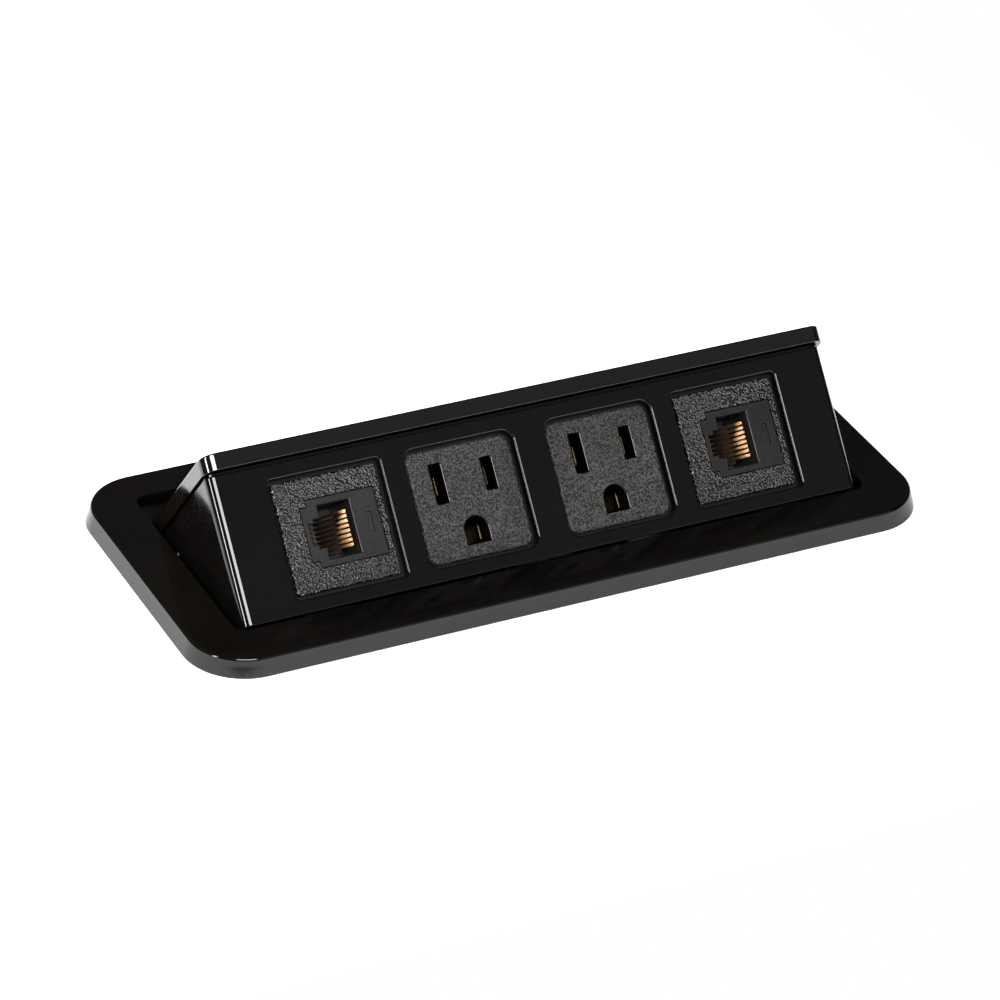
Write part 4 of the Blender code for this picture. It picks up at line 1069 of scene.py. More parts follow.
# ------------------------------------------------------------------ tilting head
def box_in_head(node: str) -> tuple[Vector, Vector]:
    """Lowest and highest corners of a node in the head's own frame.

    Args:
        node: The node's name.

    Returns:
        The two corners.
    """
    turn = PLAN.head.inverted()
    points = [turn @ v.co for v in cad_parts[node].data.vertices]
    low = Vector((min(p.x for p in points), min(p.y for p in points), min(p.z for p in points)))
    high = Vector((max(p.x for p in points), max(p.y for p in points), max(p.z for p in points)))
    return low, high


@dataclass
class Lid:
    """The glossy lid, a shallow tray whose lip overhangs the face."""

    corner: float = 0.0033
    back_round: float = 0.0012
    edge: float = 0.00040
    rim: float = 0.00005
    back: float = 0.0126
    fillet: float = 0.0003
    corner_fill: float = 0.0004
    boss: float = 0.0030
    boss_hole: float = 0.0014
    boss_length: float = 0.0060

    def _ring(self, z: float, out: float, back_out: float) -> Ring:
        """Outer outline at a height in the head's frame.

        Args:
            z: Height in the head's frame.
            out: How far it stands outside the lid's sides.
            back_out: How far it stands behind the lid's back.

        Returns:
            The ring.
        """
        lean = (PLAN.pivot_drop - z) * math.tan(PLAN.lean)
        front = PLAN.lid_front + lean
        return rounded(-PLAN.lid_half - out, PLAN.lid_half + out, front - out, self.back + back_out,
                       self.corner + out, z, 10)

    def _back_roll(self, z: float) -> float:
        """How far the rounded back edge stands in at a height in the head's frame.

        Args:
            z: Height in the head's frame.

        Returns:
            The distance.
        """
        r = self.back_round
        rise = min(1.0, (z - PLAN.pivot_drop + r) / r)
        return r * (1 - math.cos(math.asin(rise)))

    def _solid(self) -> Form:
        """The tray with its rolled edges.

        Returns:
            The tray.
        """
        top = PLAN.pivot_drop
        low = top - PLAN.lid_height
        ceiling = top - PLAN.lid_plate
        s = PLAN.lid_skirt
        half = PLAN.lid_half - s
        front = PLAN.lid_front + PLAN.lid_height * math.tan(PLAN.lean) + s
        rings = []
        for z, grow in ((ceiling, -self.fillet), (ceiling - self.fillet, 0.0), (low + self.rim, 0.0),
                        (low, self.rim)):
            rings.append(rounded(-half - grow, half + grow, front - grow, self.back - s + grow,
                                 self.corner - s + self.corner_fill + grow, z, 10))
        rings.append(self._ring(low, -self.rim, -self.rim))
        rings.append(self._ring(low + self.rim, 0.0, 0.0))
        for share in (1.0, 0.8, 0.6):
            z = top - self.back_round * share
            rings.append(self._ring(z, 0.0, -self._back_roll(z)))
        for inward, down in rolled(self.edge, 15):
            z = top - down
            rings.append(self._ring(z, -inward, min(-self._back_roll(z), -inward)))
        return Form().skin(rings)

    def build(self) -> None:
        """Make the lid with its screw bosses."""
        solid = self._solid()
        ceiling = PLAN.pivot_drop - PLAN.lid_plate
        top = ceiling + self.fillet
        floor = ceiling - self.boss_length
        wall = [(self.boss, floor), (self.boss, top), (self.boss_hole, top), (self.boss_hole, floor)]
        for i in range(1, 5):
            low, high = box_in_head(f"lid_screw_{i}")
            solid.turned(wall, at((low.x + high.x) / 2, (low.y + high.y) / 2), 32, hollow=True)
        Piece("gloss_lid", GLOSS_BLACK, "head", ("lid",), PLAN.head, crease=38.0).make(solid)


@dataclass
class SocketShell:
    """The head's body: face plate, two cheeks and a floor, with its openings and fittings."""

    edge: float = 0.00040
    cheek_round: float = 0.0022
    floor: float = 0.0018
    tongue: float = -0.0011
    rim: float = 0.00045
    boss_x: float = 0.0712
    tab_half: float = 0.0032
    tab_hole: float = 0.0014
    peg_back: float = 0.0090
    peg_drop: float = 0.00195
    stop_x: float = 0.0580
    stop_half: float = 0.0055
    stop_thick: float = 0.0016
    stop_top: float = 0.0008
    stop_reach: float = 0.0032
    ear_y: float = 0.0110
    ear_x: float = 0.0728
    ear_half: float = 0.0030
    ear_hole: float = 0.0012
    ear_long: float = 0.0065
    overlap: float = 0.0004

    @property
    def _pin(self) -> Spot:
        """Hinge pin in the face's frame, (up the face, out of it)."""
        spot = PLAN.face.inverted() @ PLAN.pivot
        return spot.y, spot.z

    def _about_pin(self, angle: float, radius: float) -> Spot:
        """Point on a circle about the pins, in the face's frame.

        Args:
            angle: Angle from straight back, upwards.
            radius: Distance from the pin.

        Returns:
            The point, (up the face, out of it).
        """
        y, z = self._pin
        lean = PLAN.lean
        c, s = radius * math.cos(angle), radius * math.sin(angle)
        return y - c * math.sin(lean) + s * math.cos(lean), z - c * math.cos(lean) - s * math.sin(lean)

    def _side(self, inset: float) -> list[Spot]:
        """Side outline with its front moved back by inset.

        Args:
            inset: How far the front is moved back.

        Returns:
            Points, (up the face, out of it).
        """
        radius = PLAN.pivot_drop - PLAN.lid_plate - PLAN.gap - 0.0002
        e = self.edge
        top = PLAN.face_top
        front = arc((e, -e), e, 180, 90, 5) + arc((top - e, -e), e, 90, 0, 5)
        front += [(top, self.tongue), (PLAN.lid_under(self.tongue) - 0.0002, self.tongue)]
        points = [(y, -inset + z * (1.0 - inset / PLAN.shell_wall)) for y, z in front]
        y, z = self._pin
        dy, dz = -y, -PLAN.shell_depth - z
        back = -dy * math.sin(PLAN.lean) - dz * math.cos(PLAN.lean)
        up = dy * math.cos(PLAN.lean) - dz * math.sin(PLAN.lean)
        last = math.atan2(up, back) + math.acos(radius / math.hypot(back, up))
        for i in range(25):
            points.append(self._about_pin(math.pi / 2 + (last - math.pi / 2) * i / 24, radius))
        points.append((0.0, -PLAN.shell_depth))
        return points

    def _solid(self) -> Form:
        """The shell before it is hollowed, with rolled front edges on its cheeks.

        Returns:
            The solid shell.
        """
        half = [(PLAN.shell_x - down, inward) for inward, down in rolled(self.cheek_round, 9)]
        columns = [(-x, inset) for x, inset in reversed(half)] + half
        return Form().skin([side_ring(self._side(inset), x) for x, inset in columns])

    def _hollow(self) -> Form:
        """Space behind the face plate."""
        inner = PLAN.shell_x - PLAN.shell_wall
        return Form().block(-inner, inner, self.floor, 0.080, -0.080, -PLAN.shell_wall)

    def _ports(self) -> Form:
        """The four openings, each with a rolled rim.

        Returns:
            What is cut away.
        """
        form = Form()
        h = PLAN.port_half
        levels = [(0.0, -PLAN.shell_wall - 0.001)]
        levels += [(inward, -down) for inward, down in rolled(self.rim, 15)[:-1]]
        levels.append((self.rim + 0.0010, 0.0004))
        for port in PORTS:
            corner = 0.0028 if port.mains else 0.0010
            form.skin([square(port.x, PLAN.port_rise, h + grow, h + grow, corner + grow, z, 6)
                       for grow, z in levels])
        return form

    def _head_cuts(self) -> Form:
        """Rebates for the lid's skirt, in the face's frame.

        Returns:
            What is cut away.
        """
        turn = PLAN.face_in_head.inverted()
        form = Form()
        top = PLAN.pivot_drop
        for side in (-1, 1):
            x0, x1 = sorted((side * (PLAN.lid_half - PLAN.lid_skirt - PLAN.gap),
                             side * (PLAN.lid_half + 0.0010)))
            corners = [(x0, -0.050), (x1, -0.050), (x1, 0.020), (x0, 0.020)]
            low = top - PLAN.lid_height - PLAN.gap
            form.skin([[turn @ p for p in flat_ring(corners, z)] for z in (low, top)])
        return form

    def _round_cuts(self) -> Form:
        """Pin holes, tab holes and ear holes, in the face's frame.

        Returns:
            What is cut away.
        """
        turn = PLAN.face_in_head.inverted()
        form = Form()
        for side in (-1, 1):
            across = side * (PLAN.shell_x - PLAN.shell_wall / 2)
            form.turned([(PLAN.pin_hole, -0.003), (PLAN.pin_hole, 0.003)], turn @ along_x(across), 32)
        for i in range(1, 5):
            low, high = box_in_head(f"lid_screw_{i}")
            spot = at((low.x + high.x) / 2, (low.y + high.y) / 2)
            form.turned([(self.tab_hole, -0.0030), (self.tab_hole, 0.0014)], turn @ spot, 20)
        back = -PLAN.shell_depth
        for side in (-1, 1):
            form.turned([(self.ear_hole, back - 0.001), (self.ear_hole, back + 0.0058)],
                        at(side * self.ear_x, self.ear_y), 20)
        return form

    def _hook(self) -> list[Vector]:
        """Outline of a stop hook in the open head's world frame.

        Returns:
            The outline, at x = 0.
        """
        back = Vector((0.0, math.sin(PLAN.face_angle), -math.cos(PLAN.face_angle)))
        foot = PLAN.foot
        low = self.stop_top - self.stop_thick
        root = foot + back * ((foot.z - low) / math.cos(PLAN.face_angle))
        rise = Vector((0.0, math.cos(PLAN.face_angle), math.sin(PLAN.face_angle))) * (self.floor * 0.6)
        tip = -PLAN.mouth_front - self.stop_reach
        inner = foot.y + 0.0003
        flat = [(inner, foot.z - 0.0008), (inner, self.stop_top), (tip, self.stop_top), (tip, low)]
        return [foot + back * 0.0012 + rise] + side_ring(flat, 0.0) + [root, root + rise]

    def _fittings(self) -> Form:
        """Lid tabs, spring pegs, stop hooks and cover ears, in the face's frame.

        Returns:
            What is joined on.
        """
        turn = PLAN.face_in_head.inverted()
        inner = PLAN.shell_x - PLAN.shell_wall
        form = Form()
        for i in range(1, 5):
            low, high = box_in_head(f"lid_screw_{i}")
            side = 1 if low.x > 0 else -1
            y = (low.y + high.y) / 2
            x0, x1 = sorted((side * (self.boss_x - 0.0030), side * (inner + self.overlap)))
            y0, y1 = y - self.tab_half, y + self.tab_half
            corners = [(x0, y0), (x1, y0), (x1, y1), (x0, y1)]
            form.skin([[turn @ p for p in flat_ring(corners, z)] for z in (-0.0014, 0.0004)])
        hook = [PLAN.face.inverted() @ p for p in self._hook()]
        at_peg = Vector((0.0, PLAN.pivot.y - self.peg_back, PLAN.pivot.z - self.peg_drop))
        peg = PLAN.head.inverted() @ at_peg
        back = -PLAN.shell_depth
        for side in (-1, 1):
            form.turned([(PLAN.peg, -0.0011), (PLAN.peg, 0.0011)],
                        turn @ along_x(side * (PLAN.shell_x + 0.0006), peg.y, peg.z), 20)
            form.skin([side_ring([(p.y, p.z) for p in hook], side * self.stop_x + dx)
                       for dx in (-self.stop_half, self.stop_half)])
            x0, x1 = sorted((side * (inner - self.ear_long), side * (inner + self.overlap)))
            form.block(x0, x1, self.ear_y - self.ear_half, self.ear_y + self.ear_half, back,
                       back + self.ear_long)
        return form

    def build(self) -> None:
        """Make the shell and the pieces fixed to it."""
        Piece("socket_housing", SATIN_BLACK, "head", ("socket_shell",), PLAN.face, crease=30.0).make(
            self._solid(), (self._hollow(), self._head_cuts(), self._ports()),
            fittings=(self._fittings(),), holes=(self._round_cuts(),))
        refine("rear_cover", HOUSING_BLACK, "head", 0.0003)
        refine("latch_strike", ZINC, "head", 0.0002)


# ------------------------------------------------------------------ ports
@dataclass(frozen=True)
class Port:
    """One opening in the face."""

    word: str
    x: float
    mains: bool


PORTS = (Port("left", -PLAN.data_offset, False), Port("left", -PLAN.mains_offset, True),
         Port("right", PLAN.mains_offset, True), Port("right", PLAN.data_offset, False))


def insert_rings(x: float, half: float, corner: float, edge: float) -> list[Ring]:
    """Cross-sections of a flanged insert with a rolled front edge.

    Args:
        x: Centre along the face.
        half: Half the raised front's side.
        corner: Its corner radius.
        edge: Radius of its front edge.

    Returns:
        The rings from back to front.
    """
    y = PLAN.port_rise
    shelf = -(PLAN.shell_wall + PLAN.gap)
    front = -PLAN.insert_sink
    levels = [(0.0, shelf - 0.0004), (0.0, shelf)]
    levels += [(inward, front - down) for inward, down in rolled(edge, 18)]
    return [square(x, y, half - inward, half - inward, corner - inward, z, 8) for inward, z in levels]


def insert_flange(port: Port, opening: Form, kind: str) -> None:
    """Make the smooth flange that holds an insert behind the face.

    Args:
        port: The opening it serves.
        opening: What passes through the insert.
        kind: First word of the piece's name.
    """
    shelf = -(PLAN.shell_wall + PLAN.gap)
    half = PLAN.insert_flange
    solid = Form().skin([square(port.x, PLAN.port_rise, half, half, 0.0012, z, 8)
                         for z in (shelf - PLAN.insert_thick, shelf)])
    Piece(f"{kind}_flange_{port.word}", MATT_BLACK, "head", (), PLAN.face).make(solid, (opening,))


@dataclass
class Receptacle:
    """A grounded receptacle: its face, body and contacts."""

    port: Port
    half: float = 0.0131
    corner: float = 0.0023
    edge: float = 0.00065
    spacing: float = 0.0127
    rise: float = 0.0050
    to_ground: float = 0.0119
    neutral: Spot = (0.0024, 0.0090)
    line: Spot = (0.0022, 0.0073)
    ground: Spot = (0.0054, 0.0056)
    lead: float = 0.00048
    grip: float = 0.00003

    def _blade_ring(self, x: float, size: Spot, grow: float, z: float) -> Ring:
        """Blade slot outline, grown by grow."""
        y = PLAN.port_rise + self.rise
        return square(x, y, size[0] / 2 + grow, size[1] / 2 + grow * 0.6, 0.00018 + grow * 0.5, z, 3)

    def _ground_ring(self, grow: float, z: float) -> Ring:
        """Ground hole outline: arched above, flat below.

        Args:
            grow: How far it stands outside its true size.
            z: Distance out of the face.

        Returns:
            The ring.
        """
        half = self.ground[0] / 2 + grow
        tall = self.ground[1] / 2 + grow
        x, y = self.port.x, PLAN.port_rise + self.rise - self.to_ground
        points = [(x - half, y - tall), (x + half, y - tall)]
        points += arc((x, y + tall - half), half, 0, 180, 24)
        return flat_ring(points, z)

    def _mouths(self) -> list[Callable[[float, float], Ring]]:
        """Outline makers of the two blade slots and the ground hole.

        Returns:
            Functions of (grow, z).
        """
        half = self.spacing / 2
        return [lambda grow, z: self._blade_ring(self.port.x - half, self.neutral, grow, z),
                lambda grow, z: self._blade_ring(self.port.x + half, self.line, grow, z),
                lambda grow, z: self._ground_ring(grow, z)]

    def _slots(self) -> Form:
        """Holes for the smooth sleeves of the slots.

        Returns:
            What is cut away.
        """
        form = Form()
        back = -(PLAN.shell_wall + PLAN.gap + PLAN.insert_thick) - 0.001
        for mouth in self._mouths():
            form.skin([mouth(self.lead, z) for z in (back, 0.001)])
        return form

    def _sleeves(self) -> Form:
        """Smooth sleeves with a chamfered mouth, one in each slot.

        Returns:
            The three sleeves.
        """
        form = Form()
        front = -PLAN.insert_sink
        back = -(PLAN.shell_wall + PLAN.gap + PLAN.insert_thick)
        lead = self.lead
        steps = [(lead + self.grip, back), (lead + self.grip, front - 0.00004), (lead * 0.96, front),
                 (lead * 0.88, front - 0.00003), (lead * 0.22, front - 0.00030),
                 (lead * 0.14, front - 0.0010), (0.0, front - 0.0015), (0.0, back)]
        for mouth in self._mouths():
            form.skin([mouth(grow, z) for grow, z in steps], closed=True)
        return form

    def build(self) -> None:
        """Make the face, and finish the parts behind it."""
        word = self.port.word
        solid = Form().skin(insert_rings(self.port.x, self.half, self.corner, self.edge))
        Piece(f"receptacle_front_{word}", LEATHER_BLACK, "head", (f"receptacle_face_{word}",), PLAN.face,
              crease=42.0).make(solid, (self._slots(),))
        Piece(f"slot_sleeves_{word}", SATIN_BLACK, "head", (), PLAN.face,
              crease=50.0).make(self._sleeves())
        insert_flange(self.port, self._slots(), "receptacle")
        refine(f"receptacle_body_{word}", HOUSING_BLACK, "head", 0.0003)
        for kind in ("line", "neutral", "ground"):
            refine(f"{kind}_contact_{word}", BRASS, "head", 0.00008)


@dataclass
class DataPort:
    """A data insert with its keystone jack and contact wires."""

    port: Port
    half: float = 0.0129
    corner: float = 0.0008
    edge: float = 0.00050
    shift: float = 0.0027
    half_long: float = 0.0083
    half_wide: float = 0.0077
    step: float = 0.0017
    step_half: float = 0.0061
    clear: float = 0.00025
    cavity_half: float = 0.0062
    cavity_long: float = 0.0079
    cavity_right: float = 0.0048
    cavity_deep: float = 0.0135
    notches: tuple[Spot, Spot] = ((0.0017, 0.0033), (0.0031, 0.00245))
    lead: float = 0.00025
    depth: float = 0.0190
    release: Point = (0.0085, 0.0007, 0.0025)
    rib: Point = (0.0051, 0.00025, 0.0064)
    tab: Point = (-0.00385, 0.00085, 0.0029)
    comb: Point = (0.0007, 0.0033, 0.0046)
    tooth: Point = (-0.00115, 0.00125, 0.00016)
    comb_set: float = 0.0098
    wires: int = 8
    pitch: float = 0.00110
    wire: Spot = (0.00036, 0.00068)

    def _outline(self, grow: float) -> list[Spot]:
        """Jack front outline, grown by grow.

        Args:
            grow: How far it stands outside its true size.

        Returns:
            The outline's points.
        """
        x, y = self.port.x, PLAN.port_rise
        left = x + self.shift - self.half_long - grow
        right = x + self.shift + self.half_long + grow
        half = self.half_wide + grow
        step = self.step_half + grow
        return [(left - self.step, y - step), (left, y - step), (left, y - half), (right, y - half),
                (right, y + half), (left, y + half), (left, y + step), (left - self.step, y + step)]

    def _cavity(self, grow: float) -> list[Spot]:
        """Plug cavity outline with its two latch notches.

        Args:
            grow: How far it stands outside its true size.

        Returns:
            The outline's points.
        """
        x, y = self.port.x, PLAN.port_rise
        right = x + self.cavity_right + grow
        left = x + self.cavity_right - self.cavity_long - grow
        half = self.cavity_half + grow
        (first, wide), (second, narrow) = self.notches
        upper = [(left, y + half), (left, y + wide + grow), (left - first, y + wide + grow),
                 (left - first, y + narrow + grow), (left - second, y + narrow + grow)]
        lower = [(px, 2 * y - py) for px, py in reversed(upper)]
        return [(right, y - half), (right, y + half)] + upper + lower

    def _bar(self, size: Point, low: float, high: float, edge: float = 0.0) -> Form:
        """Block that stands on the jack's centre line.

        Args:
            size: Its centre along the face, half its width and half its height.
            low: Its back.
            high: Its front.
            edge: Radius of its edges.

        Returns:
            The block.
        """
        x, y = self.port.x + size[0], PLAN.port_rise
        return Form().block(x - size[1], x + size[1], y - size[2], y + size[2], low, high, edge)

    def _jack(self) -> None:
        """Make the jack with its stepped mouth, guide rib, latch tab and release slot."""
        front = -PLAN.insert_sink - 0.0001
        solid = Form().skin([flat_ring(self._outline(0.0), z) for z in (front - self.depth, front)])
        mouth = Form().skin([flat_ring(self._cavity(g), z) for g, z in
                             ((0.0, front - self.cavity_deep), (0.0, front - self.lead),
                              (2 * self.lead, front + self.lead))])
        slot = self._bar(self.release, front - 0.0010, 0.001, 0.0002)
        rib = self._bar(self.rib, front - 0.0005, front + 0.0005, 0.0001)
        tab = self._bar(self.tab, front - 0.0080, front - 0.0008, 0.0002)
        word = self.port.word
        Piece(f"jack_housing_{word}", JACK_BLACK, "head", (f"keystone_jack_{word}",), PLAN.face,
              soften=0.00009).make(solid, (mouth, slot), (rib, tab))

    def _contacts(self) -> None:
        """Make the carrier comb and the row of bent contact wires."""
        x, y = self.port.x, PLAN.port_rise
        front = -PLAN.insert_sink - 0.0001
        top = front - self.comb_set
        comb = self._bar(self.comb, top - 0.0016, top, 0.0002)
        for i in range(self.wires + 1):
            rise = (i - self.wires / 2) * self.pitch
            centre, half, thin = self.tooth
            comb.block(x + centre - half, x + centre + half, y + rise - thin, y + rise + thin,
                       top - 0.0003, top + 0.0010)
        word = self.port.word
        Piece(f"contact_carrier_{word}", NYLON_DARK, "head", (), PLAN.face, soften=0.00006).make(comb)
        path = [(-0.0014, top - 0.0006 - front), (-0.0006, -0.0080), (0.0006, -0.0064), (0.0020, -0.0046),
                (0.0034, -0.0029), (0.0041, -0.0022), (0.0044, -0.0025), (0.0045, -0.0036)]
        wire = strip(path, *self.wire)
        row = Repeater("row_of_contacts", Layout.ROW).build(
            f"contact_wires_{word}", wire, GOLD, self.wires, (0.0, self.pitch, 0.0),
            (x, y - (self.wires - 1) / 2 * self.pitch, front))
        Piece(f"contact_wires_{word}", GOLD, "head", (f"jack_contacts_{word}",), PLAN.face,
              crease=50.0).dress(row)

    def build(self) -> None:
        """Make the insert, its jack and contacts, and finish the rear cap."""
        solid = Form().skin(insert_rings(self.port.x, self.half, self.corner, self.edge))
        back = -(PLAN.shell_wall + PLAN.gap + PLAN.insert_thick) - 0.001
        outline = self._outline(self.clear)
        word = self.port.word
        opening = Form().skin([flat_ring(outline, z) for z in (back, 0.001)])
        Piece(f"data_plate_{word}", PEBBLE_BLACK, "head", (f"data_insert_{word}",), PLAN.face,
              crease=42.0).make(solid, (opening,))
        insert_flange(self.port, Form().skin([flat_ring(outline, z) for z in (back, 0.001)]), "data")
        self._jack()
        self._contacts()
        refine(f"jack_rear_cap_{word}", NYLON, "head", 0.0002)


# ------------------------------------------------------------------ metalwork and wiring
@dataclass
class Hinge:
    """Pins, clips and torsion springs on which the head turns."""

    turns: float = 2.25
    inner_gap: float = 0.0008
    outer_gap: float = 0.0007
    front_leg: float = 0.0105
    back_leg: float = 0.0100
    leg_steps: int = 5
    facets: int = 90

    def _spring(self, side: int) -> Form:
        """Wind one spring with its two straight legs.

        Args:
            side: -1 for the left one, 1 for the right one.

        Returns:
            The spring.
        """
        x_in, x_out = PLAN.shell_x + self.inner_gap, PLAN.tub_half - self.outer_gap
        coil = PLAN.spring_coil
        points = []
        for i in range(self.facets + 1):
            t = i / self.facets
            a = math.radians(-90.0) - self.turns * 2 * math.pi * t
            points.append(Vector((side * (x_in + (x_out - x_in) * t), PLAN.pivot.y + coil * math.cos(a),
                                  PLAN.pivot.z + coil * math.sin(a))))
        shares = [k / self.leg_steps for k in range(1, self.leg_steps + 1)]
        lead = [points[0] - Vector((0.0, self.front_leg * k, 0.0)) for k in reversed(shares)]
        tail = [points[-1] - Vector((0.0, 0.0, self.back_leg * k)) for k in shares]
        return sweep(lead + points + tail, PLAN.spring_wire, 10)

    def build(self) -> None:
        """Make both ends of the hinge."""
        for side, word in ((-1, "left"), (1, "right")):
            Piece(f"spring_{word}", ZINC, "unit", (f"torsion_spring_{word}",), crease=60.0).make(
                self._spring(side))
            refine(f"hinge_pin_{word}", ZINC, "unit", 0.0002)
            refine(f"pin_clip_{word}", ZINC, "unit", 0.0001)


@dataclass
class Clamps:
    """Sliding desk clamps with knurled thumb screws."""

    ridges: int = 30
    knob: float = 0.0057
    knob_middle: float = 0.0022
    ridge: Point = (0.00022, 0.00030, 0.0013)
    ridge_edge: float = 0.00012

    def build(self) -> None:
        """Make both clamps."""
        for side, word in ((-1, "left"), (1, "right")):
            body = f"clamp_{word}"
            refine(f"clamp_bracket_{word}", ZINC, body, 0.00035)
            refine(f"clamp_nut_{word}", ZINC, body, 0.0002)
            refine(f"clamp_thumbscrew_{word}", ZINC, body, 0.0003)
            low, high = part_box(f"clamp_thumbscrew_{word}")
            outer = high.x if side > 0 else low.x
            middle = Vector((outer - side * self.knob_middle, (low.y + high.y) / 2, (low.z + high.z) / 2))
            x, y, z = self.ridge
            ridge = Form().block(-x, x, -y, y, -z, z, self.ridge_edge)
            ring = Repeater("ring_of_ridges", Layout.RING).build(
                f"knurl_{word}", ridge, ZINC, self.ridges, radius=self.knob)
            Piece(f"knurl_{word}", ZINC, body, (), along_x(*middle)).dress(ring)


@dataclass
class Fasteners:
    """The small screws, set out together for each body."""

    def _set(self, name: str, nodes: Sequence[str], body: str, place: Matrix, shape: Form) -> None:
        """Set one kind of screw where the frame holds its nodes.

        Args:
            name: Name of the finished piece.
            nodes: The nodes it stands for.
            body: The body it rides on.
            place: Frame whose +Z runs along the screws, head outwards.
            shape: The screw about the origin, its head above z = 0.
        """
        turn = place.inverted()
        spots = []
        for node in nodes:
            points = [turn @ v.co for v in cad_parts[node].data.vertices]
            x = (min(p.x for p in points) + max(p.x for p in points)) / 2
            y = (min(p.y for p in points) + max(p.y for p in points)) / 2
            spots.append(Vector((x, y, self._seat(points, shape))))
        made = Repeater("set_of_screws", Layout.SPOTS).build(name, shape, ZINC, spots=spots)
        Piece(name, ZINC, body, tuple(nodes), place, crease=38.0).dress(made)

    @staticmethod
    def _seat(points: Sequence[Vector], shape: Form) -> float:
        """Height at which the screw's highest point meets the node's."""
        shape.bm.verts.ensure_lookup_table()
        return max(p.z for p in points) - max(v.co.z for v in shape.bm.verts)

    def build(self) -> None:
        """Set all the screws."""
        flip = Matrix.Rotation(math.pi, 4, "X")
        self._set("flange_screws", [f"bezel_screw_{i}" for i in range(1, 5)], "unit", flip,
                  screw_form(0.0019, 0.0008, 0.0030, True))
        self._set("lid_screws", [f"lid_screw_{i}" for i in range(1, 5)], "head", PLAN.head @ flip,
                  screw_form(0.0022, 0.0011, 0.0058))
        self._set("cover_screws", ["cover_screw_left", "cover_screw_right"], "head", PLAN.face @ flip,
                  screw_form(0.0021, 0.0009, 0.0066))
        self._set("latch_screws", ["latch_screw_left", "latch_screw_right"], "unit", Matrix(),
                  screw_form(0.0017, 0.0008, 0.0022))


@dataclass
class Latch:
    """The push-to-open latch on the housing's floor."""

    def build(self) -> None:
        """Finish the latch's body and plunger."""
        refine("touch_latch_body", HOUSING_BLACK, "unit", 0.0003)
        refine("touch_latch_plunger", NYLON, "latch_plunger", 0.0002)


@dataclass
class Jumpers:
    """The three wires that link the receptacles."""

    radius: float = 0.0009
    bow: float = 0.0008
    steps: int = 24

    def build(self) -> None:
        """Make each wire along the middle of its node."""
        for kind, finish in (("line", WIRE_BLACK), ("neutral", WIRE_WHITE), ("ground", WIRE_GREEN)):
            node = f"{kind}_jumper_wire"
            turn = PLAN.face.inverted()
            points = [turn @ v.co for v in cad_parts[node].data.vertices]
            x0, x1 = min(p.x for p in points), max(p.x for p in points)
            z = (min(p.z for p in points) + max(p.z for p in points)) / 2
            low, high = min(p.y for p in points), max(p.y for p in points)
            bow = self.bow if kind != "neutral" else -self.bow
            start = (low + self.radius) if bow > 0 else (high - self.radius)
            shares = [i / self.steps for i in range(self.steps + 1)]
            path = [Vector((x0 + (x1 - x0) * t, start + bow * math.sin(math.pi * t), z)) for t in shares]
            Piece(f"{kind}_link_wire", finish, "head", (node,), PLAN.face, crease=60.0).make(
                sweep(path, self.radius, 16))


# ------------------------------------------------------------------ stage, light and camera
ROOM_DIM = 0.06
DESK_GLOW = 0.60
LAMPS = (
    ("key_panel", (-0.34, -1.08, 1.12), (0.80, 0.50), 17.0),
    ("front_card", (0.85, -1.05, 1.20), (1.30, 1.10), 0.14),
    ("front_low", (0.75, -1.45, 0.26), (1.40, 0.46), 0.70),
    ("front_mid", (0.70, -1.35, 0.72), (1.40, 0.44), 0.32),
    ("side_strip", (-1.27, -0.36, 0.45), (0.16, 0.60), 24.0),
    ("low_card", (-1.30, -0.80, 0.06), (0.80, 0.16), 0.40),
    ("left_back", (-0.95, 0.85, 0.8), (0.6, 0.6), 38.0, False, (-0.35, 0.30, 0.0)),
    ("under_front", (0.30, -1.20, -0.35), (1.20, 0.50), 3.0),
    ("under_right", (1.20, 0.30, -0.30), (0.80, 0.50), 3.0),
)


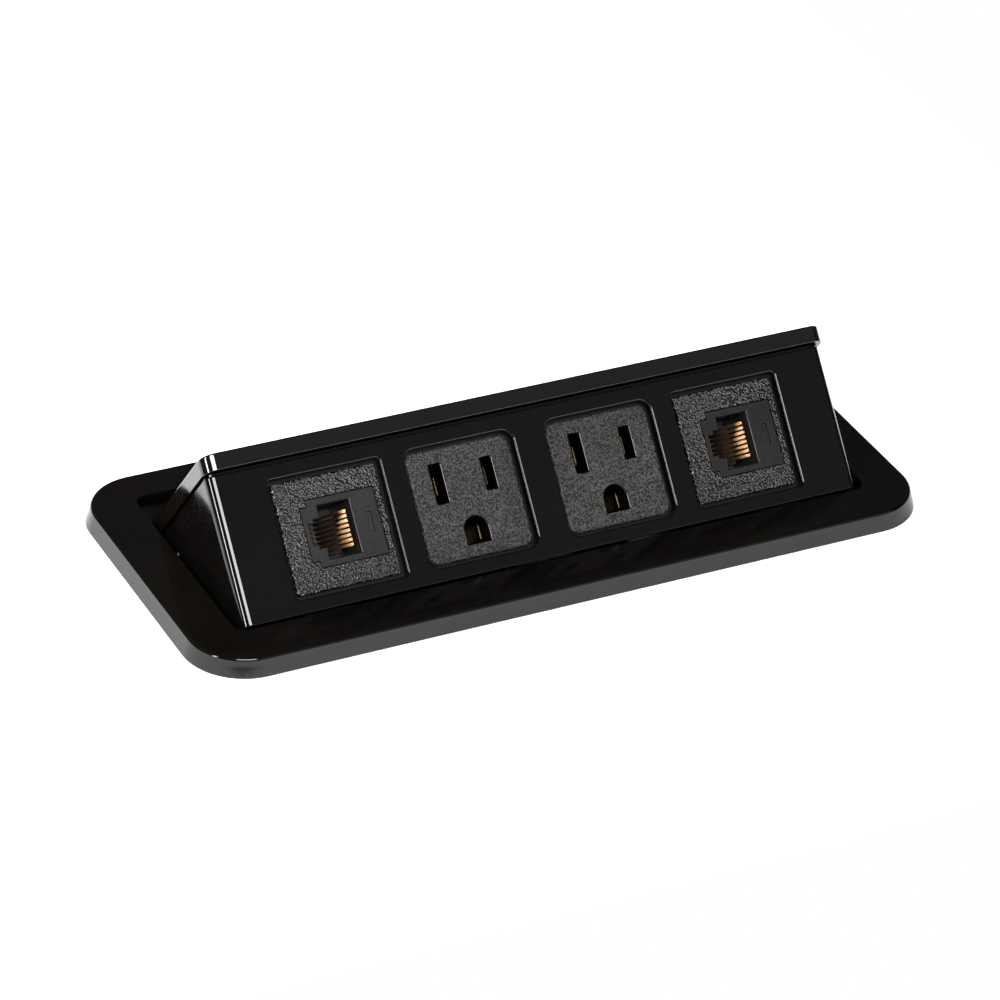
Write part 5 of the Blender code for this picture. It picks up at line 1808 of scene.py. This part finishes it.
@dataclass
class Studio:
    """Pale desk top, soft lights and the camera."""

    desk_left: float = 0.22
    desk_front: float = 0.14
    desk_right: float = 0.20
    desk_far: float = 0.90
    desk_thick: float = 0.0015
    desk_corner: float = 0.02
    hole_x: float = 0.0862
    hole_y: float = 0.0367
    hole_corner: float = 0.003
    settle: float = 0.0001
    lens: float = 169.58
    stand: Point = (-0.44586, -0.80553, 0.59084)
    ahead: Point = (0.40722, 0.73790, -0.53822)
    right: Point = (0.89128, -0.44975, 0.05775)

    def _desk(self) -> None:
        """Make the pale desk top with its cut-out."""
        top = -self.settle
        low = top - self.desk_thick
        outer = [rounded(-self.desk_left, self.desk_right, -self.desk_front, self.desk_far,
                         self.desk_corner, z, 4) for z in (low, top)]
        inner = [square(0, 0, self.hole_x, self.hole_y, self.hole_corner, z, 4) for z in (top, low)]
        mesh = Form().skin(outer + inner, closed=True).mesh("desk_top")
        obj = bpy.data.objects.new("desk_top", mesh)
        bpy.context.scene.collection.objects.link(obj)
        pale = bpy.data.materials.new("pale_laminate")
        pale.use_nodes = True
        shader = pale.node_tree.nodes["Principled BSDF"]
        shader.inputs["Base Color"].default_value = (0.90, 0.90, 0.90, 1.0)
        shader.inputs["Roughness"].default_value = 0.85
        shader.inputs["Specular IOR Level"].default_value = 0.2
        shader.inputs["Emission Color"].default_value = (1.0, 1.0, 1.0, 1.0)
        shader.inputs["Emission Strength"].default_value = DESK_GLOW
        mesh.materials.append(pale)

    @staticmethod
    def _lamp(name: str, place: Point, size: Spot, radiance: float, mirrored: bool = True,
              aim: Point = (0.0, 0.0, 0.02)) -> None:
        """Add a rectangular soft light.

        Args:
            name: Its name.
            place: Where it stands.
            size: Width and height.
            radiance: Brightness of its panel.
            mirrored: Whether it shows in glossy surfaces.
            aim: What it points at.
        """
        light = bpy.data.lights.new(name, "AREA")
        light.shape = "RECTANGLE"
        light.size, light.size_y = size
        light.energy = radiance * math.pi * size[0] * size[1]
        obj = bpy.data.objects.new(name, light)
        bpy.context.scene.collection.objects.link(obj)
        obj.visible_glossy = mirrored
        obj.location = place
        obj.rotation_euler = (Vector(aim) - Vector(place)).to_track_quat("-Z", "Y").to_euler()

    @staticmethod
    def _room() -> None:
        """Set a dim room that is pale behind the desk."""
        world = bpy.data.worlds.new("studio_room")
        bpy.context.scene.world = world
        world.use_nodes = True
        tree = world.node_tree
        tree.nodes.clear()
        out = tree.nodes.new("ShaderNodeOutputWorld")
        mix = tree.nodes.new("ShaderNodeMixShader")
        path = tree.nodes.new("ShaderNodeLightPath")
        dim = tree.nodes.new("ShaderNodeBackground")
        pale = tree.nodes.new("ShaderNodeBackground")
        dim.inputs["Color"].default_value = (1.0, 0.97, 0.94, 1.0)
        dim.inputs["Strength"].default_value = ROOM_DIM
        pale.inputs["Color"].default_value = (1.0, 1.0, 1.0, 1.0)
        pale.inputs["Strength"].default_value = 1.0
        tree.links.new(path.outputs["Is Camera Ray"], mix.inputs["Fac"])
        tree.links.new(dim.outputs["Background"], mix.inputs[1])
        tree.links.new(pale.outputs["Background"], mix.inputs[2])
        tree.links.new(mix.outputs["Shader"], out.inputs["Surface"])

    def _camera(self) -> None:
        """Set the camera above and to the left of the unit's front."""
        data = bpy.data.cameras.new("camera")
        data.lens = self.lens
        data.sensor_width = 36.0
        data.clip_start = 0.01
        obj = bpy.data.objects.new("camera", data)
        bpy.context.scene.collection.objects.link(obj)
        ahead = Vector(self.ahead)
        right = Vector(self.right)
        right = (right - ahead * right.dot(ahead)).normalized()
        up = right.cross(ahead)
        turn = Matrix((right, up, -ahead)).transposed().to_4x4()
        obj.matrix_world = Matrix.Translation(self.stand) @ turn
        bpy.context.scene.camera = obj

    def build(self) -> None:
        """Set the whole stage."""
        self._desk()
        self._room()
        self._camera()
        for lamp in LAMPS:
            self._lamp(*lamp)


def main() -> None:
    """Build the unit from the flange to the wiring, then set the stage."""
    logging.basicConfig(level=logging.INFO, format="%(name)s: %(message)s")
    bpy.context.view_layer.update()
    bpy.context.scene.view_settings.view_transform = "Standard"
    ports = [Receptacle(port) if port.mains else DataPort(port) for port in PORTS]
    parts = (DeskFlange(), Housing(), Lid(), SocketShell(), *ports, Hinge(), Clamps(), Fasteners(),
             Latch(), Jumpers(), Studio())
    for part in parts:
        LOG.info("building %s", type(part).__name__)
        part.build()


if __name__ == "__main__":
    main()
